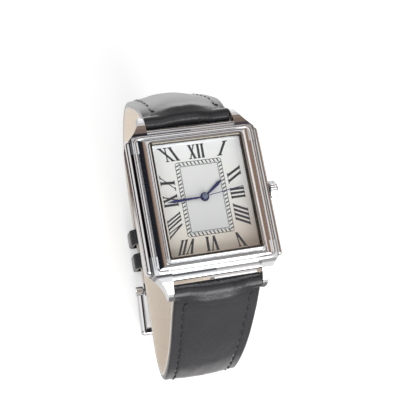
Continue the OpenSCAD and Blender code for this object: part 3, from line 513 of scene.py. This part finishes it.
def numeral_outlines(text, foot, head):
    """Stroke and serif outlines of a numeral between its foot line and head line, in mm."""
    def at(u, v):
        low = [foot[0][i] + (foot[1][i] - foot[0][i]) * u for i in (0, 1)]
        high = [head[0][i] + (head[1][i] - head[0][i]) * u for i in (0, 1)]
        return tuple(low[i] + (high[i] - low[i]) * v for i in (0, 1))

    lengths = [sqrt(sum((line[1][i] - line[0][i]) ** 2 for i in (0, 1))) for line in (foot, head)]
    total = sum(LETTER_UNITS[c] for c in text) + LETTER_GAP * (len(text) - 1)
    stroke = min(THICK_STROKE, FILL_SHARE * min(lengths) / total)
    outlines, u = [], 0.0
    for letter in text:
        strokes, serifs = letter_strokes(letter, u / total, (u + LETTER_UNITS[letter]) / total)
        for low, high, share in strokes:
            half = [max(stroke * share, THIN_STROKE) / 2 / length for length in lengths]
            outlines.append([at(low - half[0], 0), at(low + half[0], 0),
                             at(high + half[1], 1), at(high - half[1], 1)])
        for left_end, right_end, v in serifs:
            near, far = (0, SERIF) if v == 0 else (1, 1 - SERIF)
            outlines.append([at(left_end, near), at(right_end, near), at(right_end, far), at(left_end, far)])
        u += LETTER_UNITS[letter] + LETTER_GAP
    return outlines


for foot_out, head_out, along_x, numerals in SIDES:
    for text, *ends in numerals:
        spots = [(end, out) if along_x else (out, end)
                 for end, out in zip(ends, (foot_out, foot_out, head_out, head_out))]
        new_piece("numeral_" + text, printed(numeral_outlines(text, spots[:2], spots[2:])), ink, "case")

# Track: two thin lines round the middle of the dial, filled with slanted strokes like a
# laid rope, and printed with the numerals in the same ink.
TRACK_LINE = 0.11
TRACK_CORNERS = (0.6, 0.25)
ROPE_PITCH = 0.84
ROPE_STROKE = 0.27
ROPE_LEAN = -0.34
ROPE_ENDS = 1.0


def rounded_ring(w, l, r, line):
    """Strips of a thin rounded rectangle's line, as outlines in mm."""
    def ring(inset):
        points = []
        for k in range(4):
            cx = (w / 2 - r) * (1 if k in (0, 3) else -1)
            cy = (l / 2 - r) * (1 if k < 2 else -1)
            for step in range(7):
                angle = pi / 2 * (k + step / 6)
                points.append((cx + (r - inset) * cos(angle), cy + (r - inset) * sin(angle)))
        return points
    outer, inner = ring(0), ring(line)
    n = len(outer)
    return [[outer[i], outer[(i + 1) % n], inner[(i + 1) % n], inner[i]] for i in range(n)]


track_outlines = rounded_ring(TRACK_W, TRACK_L, TRACK_CORNERS[0], TRACK_LINE)
track_outlines += rounded_ring(TRACK_W - 2 * TRACK_BAND, TRACK_L - 2 * TRACK_BAND, TRACK_CORNERS[1], TRACK_LINE)
for run_length, offset, along_x in ((TRACK_W, TRACK_L / 2, True), (TRACK_L, TRACK_W / 2, False)):
    strokes = round((run_length - ROPE_ENDS) / ROPE_PITCH)
    low, high = offset - TRACK_BAND + TRACK_LINE, offset - TRACK_LINE
    for sign in (-1, 1):
        for k in range(strokes):
            at_mm = (k - (strokes - 1) / 2) * (run_length - ROPE_ENDS) / strokes
            quad = [(at_mm - ROPE_LEAN / 2, low), (at_mm - ROPE_LEAN / 2 + ROPE_STROKE, low),
                    (at_mm + ROPE_LEAN / 2 + ROPE_STROKE, high), (at_mm + ROPE_LEAN / 2, high)]
            track_outlines.append([(x * sign, y * sign) if along_x else (y * sign, -x * sign) for x, y in quad])
new_piece("dial_track", printed(track_outlines), ink, "case")

# Hands: stamped from thin steel, blued, and pressed each on its own wheel's tube. A
# turned cap, with a ring and a domed middle, closes the second hand's hub.
CAP_R, CAP_RISE, CAP_SIDES = 0.62, 0.16, 40
CAP_PROFILE = [(1.0, -0.05), (1.0, 0.5), (0.92, 0.9), (0.8, 1.0), (0.68, 0.85), (0.58, 0.3), (0.48, 0.25),
               (0.4, 0.9), (0.28, 1.1), (0.12, 1.2)]
dress(metal("hand_blue", (0.022, 0.026, 0.13), 0.30, 0.05, 0.05), "hour_hand", "minute_hand", "second_hand")


def circle(sides):
    """Cosine and sine of evenly spaced turns."""
    return [(cos(2 * pi * k / sides), sin(2 * pi * k / sides)) for k in range(sides)]


def shade_smooth(piece, angle=40):
    """Smooth shading with creases kept sharp."""
    piece.data.shade_smooth()
    piece.data.set_sharp_from_angle(angle=radians(angle))


hub_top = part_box("second_hand")[1].z
cap_rings = [[(r * CAP_R * c * MM, r * CAP_R * s * MM, hub_top + h * CAP_RISE * MM) for c, s in circle(CAP_SIDES)]
             for r, h in CAP_PROFILE]
cap = new_piece("second_cap", lofted(cap_rings), metal("cap_blue", (0.26, 0.30, 0.42), 0.22, 0.05, 0.02),
                "second")
shade_smooth(cap, 35)

# Strap: two halves of padded calf leather over a beige lining, folded round a spring bar
# of turned steel at the case and sewn along both edges. They hold their worn curve.
BAR_Y, BAR_Z = 19.2, 1.9
STRAP_W = 19.6
BUCKLE_W = 17.0
LEATHER_T = 1.2
PADDING_T, PADDING_END, THINNING_L = 1.2, 0.3, 30
LINING_T = 0.7
TAPER_START, TAPER_END = 8, 22
TIP_L = 9
# Each half's heading at its spring bar, in degrees below level, and its runs from there:
# length in mm and bend in degrees.
START_12 = 42
BEND_12, BEND_12_TURN = 34, 78
RUNS_12 = [(2, 0), (7, 22), (12, 4), (10, 34), (BEND_12, BEND_12_TURN), (18, 0)]
START_6 = 58
UPPER_6 = [(2, 0), (14, 4), (22, 16)]
# The half at 6 turns back under the wrist and lies inside the half at 12, so far above it.
STACK_GAP = 4.0
LAP_TURN = 42
dress(crown_steel, "spring_bar_12", "spring_bar_6")


def along_run(run, share, start):
    """Point and heading (y, z, degrees below level) part of the way along one run, in mm."""
    length, bend = run
    y, z, h0 = start
    h1 = h0 + share * bend
    if bend == 0:
        return y + share * length * cos(radians(h0)), z - share * length * sin(radians(h0)), h0
    r = length / radians(bend)
    return y + r * (sin(radians(h1)) - sin(radians(h0))), z + r * (cos(radians(h1)) - cos(radians(h0))), h1


def along_route(runs, s, start):
    """Point and heading at a distance s along a route of runs."""
    for i, run in enumerate(runs):
        if s <= run[0] or i == len(runs) - 1:
            return along_run(run, s / run[0], start)
        s -= run[0]
        start = along_run(run, 1, start)


P_12 = (BAR_Y, BAR_Z, START_12)
P_6 = (BAR_Y, BAR_Z, START_6)
LENGTH_12 = sum(run[0] for run in RUNS_12)
FLAT_12 = along_route(RUNS_12, LENGTH_12 - RUNS_12[-1][0], P_12)
END_12 = along_route(RUNS_12, LENGTH_12, P_12)
KNEE_6 = along_route(UPPER_6, sum(run[0] for run in UPPER_6), P_6)
KNEE_R = (KNEE_6[1] - FLAT_12[1] - STACK_GAP) / (1 + cos(radians(KNEE_6[2])))
FLAT_6_L = KNEE_6[0] - KNEE_R * sin(radians(KNEE_6[2])) + FLAT_12[0]
LAP_R = BEND_12 / radians(BEND_12_TURN) - STACK_GAP
RUNS_6 = UPPER_6 + [(KNEE_R * radians(180 - KNEE_6[2]), 180 - KNEE_6[2]), (FLAT_6_L, 0),
                    (LAP_R * radians(LAP_TURN), LAP_TURN)]
LENGTH_6 = sum(run[0] for run in RUNS_6)

# The fold and its bore, the section's edges, the rise and fall of the grain side, the
# buckle's loop and slot, the adjusting holes, and the stitches, in mm.
BARREL_R, BAR_HOLE_R = 1.65, 0.83
FOLD = range(150, 0, -10)
FOLD_LIFT, WALL_H, SHOULDER_H, SHOULDER_IN, TOP_IN = 0.35, 0.3, 0.68, 0.02, 0.08
TOP_POINTS, LINING_POINTS, CROWDING = 72, 24, 0.35
LINING_EASE = 0.15
ROLL_RISE, ROLL_AT, ROLL_REACH = 0.4, 1.3, 1.6
EDGE_DROP, EDGE_REACH = 0.38, 0.5
GROOVE_DEPTH, GROOVE_HALF = 0.12, 0.32
SOFT_DEPTH, CREASE_DEPTH, GRAIN_DEPTH = 0.05, 0.035, 0.012
PIN_HOLE_R, PIN_BARREL_R = 0.65, 1.3
SLOT_HALF, SLOT_L, CUT_DEPTH = 1.15, 5, 5
HOLE_R, HOLE_PITCH, FIRST_HOLE, HOLES = 0.95, 6.5, 22, 7
STATION_STEP, FIRST_STATION, LINING_BACK = 0.55, 0.3, 0.5
STITCH_INSET, STITCH_START, STITCH_PITCH = 2.35, 4.2, 3.3
STITCH_L, STITCH_R, STITCH_LIFT, STITCH_SLANT = 2.3, 0.32, 0.03, 0.1
TURNED_IN_L, TURNED_IN_SLANT, TURNED_IN_SHIFT, TURNED_IN_BEFORE = 1.0, -1.6, 0.35, 1.5
UNSEWN_AT_BUCKLE = 8
STITCH_SHAPE = ((-1.0, 0.25), (-0.85, 0.75), (-0.4, 1.0), (0.4, 1.0), (0.85, 0.75), (1.0, 0.25))


def half_width(s, length, round_tip):
    """Half the strap's width at a distance s from its spring bar."""
    taper = min(1, max(0, (s - TAPER_START) / (length - TAPER_START - TAPER_END)))
    body = STRAP_W + (BUCKLE_W - STRAP_W) * taper
    if not round_tip:
        return body / 2
    u = max(0, (s - (length - TIP_L)) / TIP_L)
    return body / 2 * sqrt(max(0.002, 1 - min(1, u) ** 2))


def ease(a, b, x):
    """0 before a, 1 after b and smooth between."""
    t = min(1, max(0, (x - a) / (b - a)))
    return t * t * (3 - 2 * t)


def leather_top(x, s, w, length):
    """Height of the leather's grain side over its flesh side, in mm."""
    thins_after, flat_middle = (22, 0.12) if length == LENGTH_12 else (6, 0.22)
    from_edge = w - abs(x)
    full = 0.8 + 0.2 * ease(0, 2.2, s)
    pad = PADDING_T * full * max(PADDING_END, 1 - max(0, s - thins_after) / THINNING_L)
    roll = ROLL_RISE * exp(-((s - ROLL_AT) / ROLL_REACH) ** 2)
    crown = (pad + roll) * (1 - ease(flat_middle, 0.96, abs(x) / w))
    edge = EDGE_DROP * (1 - ease(0, EDGE_REACH, from_edge) ** 0.5)
    groove = GROOVE_DEPTH * max(0, 1 - ((from_edge - STITCH_INSET) / GROOVE_HALF) ** 2)
    groove *= ease(STITCH_START - 1, STITCH_START, s)
    soft = SOFT_DEPTH * noise.noise(Vector((x * 0.35, s * 0.22, length)))
    creases = CREASE_DEPTH * noise.noise(Vector((x * 0.9, s * 3.2, 4.0 + length))) * (1 - ease(4, 26, s))
    grain = GRAIN_DEPTH * noise.noise(Vector((x * 4.0, s * 4.0, 9.0)))
    return LEATHER_T + crown - edge - groove + (soft + creases + grain) * ease(0, 1.2, from_edge)


def leather_section(s, length, round_tip, turn_back=0):
    """Cross-section of the leather at s as (x, height) from its left foot over the top to its right.

    turn_back is how many degrees the section is turned back round the spring bar, where the
    padding thins out to the barrel.
    """
    w = half_width(s, length, round_tip)
    foot = FOLD_LIFT if turn_back else 0.0
    left = [(-w, foot), (-w, foot + WALL_H), (-w + SHOULDER_IN, SHOULDER_H)]
    inner = w - TOP_IN
    padded = 1 - ease(15, 120, turn_back)
    top = []
    for k in range(TOP_POINTS + 1):
        c = -cos(pi * k / TOP_POINTS) * CROWDING + (2 * k / TOP_POINTS - 1) * (1 - CROWDING)
        full = leather_top(c * inner, s, w, length)
        top.append((c * inner, BARREL_R + (full - BARREL_R) * padded))
    return left + top + [(-x, z) for x, z in reversed(left)]


def lining_section(s, length, round_tip):
    """Cross-section of the lining: flat against the leather, its lower edges eased."""
    w = half_width(s, length, round_tip)
    inner = w - LINING_EASE
    foot = [(-inner + 2 * inner * k / LINING_POINTS, -LINING_T) for k in range(LINING_POINTS + 1)]
    return [(w, 0.0), (-w, 0.0), (-w, LINING_EASE - LINING_T)] + foot + [(w, LINING_EASE - LINING_T)]


def swept(sections, places, side):
    """Closed solid through sections at places (y, z, heading); side is 1 at 12 and -1 at 6."""
    rings = []
    for section, (y, z, heading) in zip(sections, places):
        h = radians(heading)
        rings.append([(x * MM, side * (y + up_by * sin(h)) * MM, (z + up_by * cos(h)) * MM) for x, up_by in section])
    return lofted(rings)


def strap_stations(s0, s1, step, length, round_tip):
    """Distances along a half, closer together towards a round tip."""
    end = min(s1, length - TIP_L) if round_tip else s1
    count = ceil((end - s0) / step)
    places = [s0 + (end - s0) * k / count for k in range(count + 1)]
    if round_tip:
        places += [end + TIP_L * sin(radians(a)) * 0.998 for a in range(4, 91, 4)]
    return places


def rod(start, end, radius, sides):
    """Points and faces of a round bar between two points in metres."""
    level = (Vector(end) - Vector(start)).normalized()
    one = level.orthogonal().normalized()
    two = level.cross(one)
    return lofted([[tuple(Vector(centre) + (one * c + two * s) * radius) for c, s in circle(sides)]
                   for centre in (start, end)])


def crossbar(y, z, half, radius):
    """A round bar across the strap at (y, z), in mm."""
    return rod((-half * MM, y * MM, z * MM), (half * MM, y * MM, z * MM), radius * MM, 48)


def punch(runs, start, side, s):
    """A round cutter square to the strap at a distance s, for an adjusting hole."""
    y, z, heading = along_route(runs, s, start)
    h = radians(heading)
    ends = [(0, side * (y + d * sin(h)) * MM, (z + d * cos(h)) * MM) for d in (-CUT_DEPTH, CUT_DEPTH)]
    return rod(*ends, HOLE_R * MM, 32)


def facing_out(piece):
    """Turns a piece's faces outwards."""
    edit = bmesh.new()
    edit.from_mesh(piece.data)
    bmesh.ops.recalc_face_normals(edit, faces=edit.faces)
    edit.to_mesh(piece.data)
    edit.free()


def cut_or_join(piece, shape, operation):
    """piece with a closed shape cut away or joined on."""
    tool = new_piece("tool", shape, piece.data.materials[0])
    facing_out(tool)
    change = piece.modifiers.new("change", "BOOLEAN")
    change.operation = operation
    change.solver = "EXACT"
    change.object = tool
    bpy.context.view_layer.update()
    shaped = bpy.data.meshes.new_from_object(piece.evaluated_get(bpy.context.evaluated_depsgraph_get()))
    piece.modifiers.clear()
    piece.data = shaped
    bpy.data.objects.remove(tool)


# Leather grain: pebbles with fine pores between, darker and rougher in the hollows.
leather_grain, grain_in, grain_out = effect_group("leather_grain", [("Scale", 1400.0), ("Shine", 0.42)],
                                                  ("Hollow", "Roughness", "Height"))
pebbles = placed_node(leather_grain, "ShaderNodeTexVoronoi", feature="SMOOTH_F1")
pores = placed_node(leather_grain, "ShaderNodeTexNoise", {"Detail": 6.0, "Roughness": 0.65})
hollow_depth = pebbles.outputs["Distance"]
leather_grain.links.new(grain_in["Scale"], pebbles.inputs["Scale"])
leather_grain.links.new(math(leather_grain, "MULTIPLY", grain_in["Scale"], 1.9), pores.inputs["Scale"])
leather_grain.links.new(math(leather_grain, "MULTIPLY_ADD", hollow_depth, -0.8,
                             math(leather_grain, "MULTIPLY", pores.outputs["Fac"], 0.7)), grain_out["Height"])
leather_grain.links.new(hollow_depth, grain_out["Hollow"])
leather_grain.links.new(math(leather_grain, "MULTIPLY_ADD", hollow_depth, 0.22, grain_in["Shine"]),
                        grain_out["Roughness"])


def leather(name, raised, hollow, mottle, edge_on_sheen, upper_12_sheen, scale, shine, depth):
    """A grained leather between two colours, mottled a little, with a painted sheen that pales it where it is seen
    edge on.

    The pale tones are that painted sheen: the first everywhere, the second, brighter, on the half at 12 above its
    bend. The fold round each spring bar is stretched smooth and shines more.
    """
    material, tree = new_material(name, raised, Specular_IOR_Level=0.5, Sheen_Weight=0.25, Sheen_Roughness=0.35)
    _, place_y, place_z = shaded_place(tree)
    past_bar = math(tree, "SUBTRACT", math(tree, "ABSOLUTE", place_y), BAR_Y * MM)
    below_bar = math(tree, "SUBTRACT", BAR_Z * MM, place_z)
    from_bar = math(tree, "SQRT", math(tree, "ADD", math(tree, "POWER", past_bar, 2.0),
                                       math(tree, "POWER", below_bar, 2.0)))
    fold = ramp(tree, math(tree, "MULTIPLY", from_bar, 100.0), [(0.20, 1.0), (0.62, 0.0)])
    above_bend = math(tree, "MULTIPLY_ADD", place_z, 100.0, 3.0, clamp=True)
    sheen_12_mask = math(tree, "MULTIPLY", math(tree, "GREATER_THAN", place_y, 0.0), above_bend)
    facing = add_node(tree, "ShaderNodeLayerWeight", {"Blend": 0.5}).outputs["Facing"]
    # Painted sheen: the leather is paled where it is seen edge on, more on the half at 12 above its bend.
    painted_sheen = ramp(tree, math(tree, "MULTIPLY_ADD", sheen_12_mask, 0.20, facing), [(0.66, 0.0), (0.88, 1.0)])
    grain = use_group(tree, leather_grain, Scale=scale, Shine=shine)
    patches = placed_node(tree, "ShaderNodeTexNoise", {"Scale": 160.0, "Detail": 3.0})
    tone = mix_colour(tree, math(tree, "MULTIPLY", grain["Hollow"], 1.1, clamp=True), raised, hollow)
    tone = mix_colour(tree, math(tree, "MULTIPLY", patches.outputs["Fac"], 0.6), tone, mottle)
    feed(tree, "Base Color", mix_colour(tree, painted_sheen, tone, mix_colour(tree, sheen_12_mask, edge_on_sheen, upper_12_sheen)))
    feed(tree, "Roughness", math(tree, "MULTIPLY_ADD", fold, -0.16, grain["Roughness"]))
    add_bump(tree, grain["Height"], 0.55, depth)
    return material


# The two pale tones of each leather are painted sheen where it is seen edge on.
black_calf = leather("black_calf", raised=(0.028, 0.028, 0.033), hollow=(0.015, 0.015, 0.018),
                     mottle=(0.038, 0.038, 0.042), edge_on_sheen=(0.34, 0.33, 0.33), upper_12_sheen=(0.49, 0.48, 0.49),
                     scale=1500, shine=0.34, depth=0.00006)
beige_lining = leather("beige_lining", raised=(0.93, 0.83, 0.72), hollow=(0.84, 0.73, 0.61),
                       mottle=(0.95, 0.87, 0.78), edge_on_sheen=(0.93, 0.84, 0.74), upper_12_sheen=(0.93, 0.84, 0.74),
                       scale=1900, shine=0.62, depth=0.00002)

# Thread: twisted, waxed and black, sewn through leather and lining in a shallow groove. On
# the half at 12 it has a pale painted sheen where it is seen edge on.
thread_black, thread_tree = new_material("thread_black", (0.012, 0.012, 0.014), Roughness=0.6)
twist = placed_node(thread_tree, "ShaderNodeTexWave", {"Scale": 1600.0, "Distortion": 0.4}).outputs["Fac"]
thread_tone = mix_colour(thread_tree, twist, (0.008, 0.008, 0.01), (0.03, 0.03, 0.033))
thread_facing = add_node(thread_tree, "ShaderNodeLayerWeight", {"Blend": 0.5}).outputs["Facing"]
thread_painted_sheen = ramp(thread_tree, thread_facing, [(0.35, 0.0), (0.72, 1.0)])
at_12 = math(thread_tree, "GREATER_THAN", shaded_place(thread_tree)[1], 0.0)
# Painted sheen: on the half at 12 the thread is paled where it is seen edge on.
feed(thread_tree, "Base Color", mix_colour(thread_tree, math(thread_tree, "MULTIPLY", thread_painted_sheen, at_12),
                                           thread_tone, (0.45, 0.44, 0.45)))
add_bump(thread_tree, twist, 0.6, 0.00003)


def stitch(s, edge, turned_in, side, runs, start, length, round_tip):
    """One stitch in the groove along an edge (-1 or 1), or the short one turned in at the top."""
    w = half_width(s, length, round_tip)
    x = edge * (w - STITCH_INSET) + TURNED_IN_SHIFT * turned_in
    y, z, heading = along_route(runs, s, start)
    h = radians(heading)
    top = leather_top(x, s, w, length) + STITCH_LIFT
    middle = Vector((x * MM, side * (y + top * sin(h)) * MM, (z + top * cos(h)) * MM))
    forward = Vector((0, side * cos(h), -sin(h)))
    lie = (forward + Vector((TURNED_IN_SLANT if turned_in else STITCH_SLANT * edge, 0, 0))).normalized()
    half = (TURNED_IN_L if turned_in else STITCH_L) / 2 * MM
    one = lie.cross(Vector((0, side * sin(h), cos(h)))).normalized()
    two = lie.cross(one)
    return lofted([[tuple(middle + lie * (half * u) + (one * c + two * s) * (STITCH_R * r * MM))
                    for c, s in circle(8)] for u, r in STITCH_SHAPE])


slot_corners = ((-SLOT_HALF, END_12[0] - 2 * PIN_BARREL_R), (SLOT_HALF, END_12[0] - 2 * PIN_BARREL_R),
                (SLOT_HALF, END_12[0] + SLOT_L), (-SLOT_HALF, END_12[0] + SLOT_L))
slot_cut = lofted([[(x * MM, y * MM, (END_12[1] + d) * MM) for x, y in slot_corners]
                   for d in (-CUT_DEPTH, CUT_DEPTH)])
for name, side, runs, start, length, round_tip in [("12", 1, RUNS_12, P_12, LENGTH_12, False),
                                                   ("6", -1, RUNS_6, P_6, LENGTH_6, True)]:
    body = "strap_" + name
    stations = strap_stations(FIRST_STATION, length, STATION_STEP, length, round_tip)
    sections = [leather_section(0, length, round_tip, back) for back in FOLD]
    sections += [leather_section(s, length, round_tip) for s in stations]
    places = [(BAR_Y, BAR_Z, start[2] - back) for back in FOLD]
    places += [along_route(runs, s, start) for s in stations]
    outer = new_piece(body + "_outer", swept(sections, places, side), black_calf, body)
    facing_out(outer)
    cut_or_join(outer, crossbar(side * BAR_Y, BAR_Z, STRAP_W / 2 - SHOULDER_IN, BARREL_R), "UNION")
    bores = [crossbar(side * BAR_Y, BAR_Z, STRAP_W, BAR_HOLE_R)]
    if name == "12":
        cut_or_join(outer, crossbar(END_12[0], END_12[1], BUCKLE_W / 2, PIN_BARREL_R), "UNION")
        bores.append(crossbar(END_12[0], END_12[1], STRAP_W, PIN_HOLE_R))
        openings = [slot_cut]
    else:
        openings = [punch(runs, start, side, length - FIRST_HOLE - k * HOLE_PITCH) for k in range(HOLES)]
    for cut in bores + openings:
        cut_or_join(outer, cut, "DIFFERENCE")
    shade_smooth(outer)
    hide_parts(body + "_leather")

    lining_start = BARREL_R + STATION_STEP
    lining_end = length if round_tip else length - PIN_BARREL_R - LINING_BACK
    stations = strap_stations(lining_start, lining_end, STATION_STEP * 2, length, round_tip)
    inner = new_piece(body + "_inner", swept([lining_section(s, length, round_tip) for s in stations],
                                             [along_route(runs, s, start) for s in stations], side),
                      beige_lining, body)
    facing_out(inner)
    for cut in openings:
        cut_or_join(inner, cut, "DIFFERENCE")
    shade_smooth(inner)
    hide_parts(body + "_lining")

    count = int((length - STITCH_START - (TIP_L if round_tip else UNSEWN_AT_BUCKLE)) / STITCH_PITCH)
    spots = [(STITCH_START + STITCH_PITCH * k, False) for k in range(count)]
    spots.append((STITCH_START - TURNED_IN_BEFORE, True))
    stitches = [stitch(s, edge, turned_in, side, runs, start, length, round_tip)
                for edge in (-1, 1) for s, turned_in in spots]
    sewing = new_piece(body + "_stitches", joined(stitches), thread_black, body)
    facing_out(sewing)
    shade_smooth(sewing, 60)

# Keepers: two loops of the same leather, folded to a rectangle and glued. The first is
# sewn to the short half by the buckle, and the second slides.
KEEPER_L, KEEPER_T, KEEPER_ROOM, KEEPER_PLAY = 4.0, 1.1, 2.6, 0.25
KEEPER_W = BUCKLE_W + 1.0
KEEPER_CORNER, KEEPER_BEVEL = 0.6, 0.22
KEEPER_LINE_DEPTH, KEEPER_LINE_AT, KEEPER_LINE_HALF = 0.09, 0.17, 0.035
PROFILE_STEPS, CORNER_STEPS, FLAT_STEPS = 32, 12, 10
KEEPER_TOP = FLAT_12[1] + LINING_T + KEEPER_PLAY
KEEPER_LOW = FLAT_12[1] - LEATHER_T - PADDING_T * PADDING_END - KEEPER_ROOM
FIXED_KEEPER_AT, FREE_KEEPER_AT = 3, 9.5


def keeper_mesh(y_start):
    """A leather loop with rounded corners, soft edges and a creased line along each edge."""
    profile = []
    for k in range(PROFILE_STEPS + 1):
        u = k / PROFILE_STEPS
        near = min(u, 1 - u)
        bevel = KEEPER_BEVEL * (1 - ease(0, 0.09, near))
        crease = KEEPER_LINE_DEPTH * max(0, 1 - ((near - KEEPER_LINE_AT) / KEEPER_LINE_HALF) ** 2)
        profile.append((u * KEEPER_L, KEEPER_T - bevel - crease))
    profile += [(KEEPER_L, 0.0), (0.0, 0.0)]
    path = []
    w = KEEPER_W / 2 - KEEPER_CORNER
    l = (KEEPER_TOP - KEEPER_LOW) / 2 - KEEPER_CORNER
    for k in range(4):
        cx = w if k in (0, 3) else -w
        cz = l if k < 2 else -l
        for step in range(CORNER_STEPS + 1):
            angle = pi / 2 * (k + step / CORNER_STEPS)
            path.append((cx + KEEPER_CORNER * cos(angle), cz + KEEPER_CORNER * sin(angle), angle))
        if k in (0, 2):
            level = 1 if k == 0 else -1
            path += [(w * (1 - 2 * step / FLAT_STEPS) * level, cz + KEEPER_CORNER * level, pi / 2 * (k + 1))
                     for step in range(1, FLAT_STEPS)]
    centre_z = (KEEPER_TOP + KEEPER_LOW) / 2
    points = [((x + out * cos(a)) * MM, (y_start + y) * MM, (centre_z + z + out * sin(a)) * MM)
              for x, z, a in path for y, out in profile]
    n, m = len(profile), len(path)
    faces = [(row * n + k, row * n + (k + 1) % n, (row + 1) % m * n + (k + 1) % n, (row + 1) % m * n + k)
             for row in range(m) for k in range(n)]
    return points, faces


for node_name, body, beyond_slot in (("fixed_keeper", "strap_12", FIXED_KEEPER_AT),
                                     ("free_keeper", "free_keeper", FREE_KEEPER_AT)):
    start_y = END_12[0] + SLOT_L + beyond_slot - KEEPER_L / 2
    loop = new_piece(node_name + "_loop", keeper_mesh(start_y), black_calf, body)
    facing_out(loop)
    shade_smooth(loop, 50)
    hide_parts(node_name)

# Buckle: a frame and a tongue bent from steel, polished, that turn on one pin in the loop
# at the end of the half at 12.
dress(metal("buckle_chrome", STEEL, 0.07, 0.08, 0.04), "buckle_frame", "buckle_pin", "buckle_tongue")
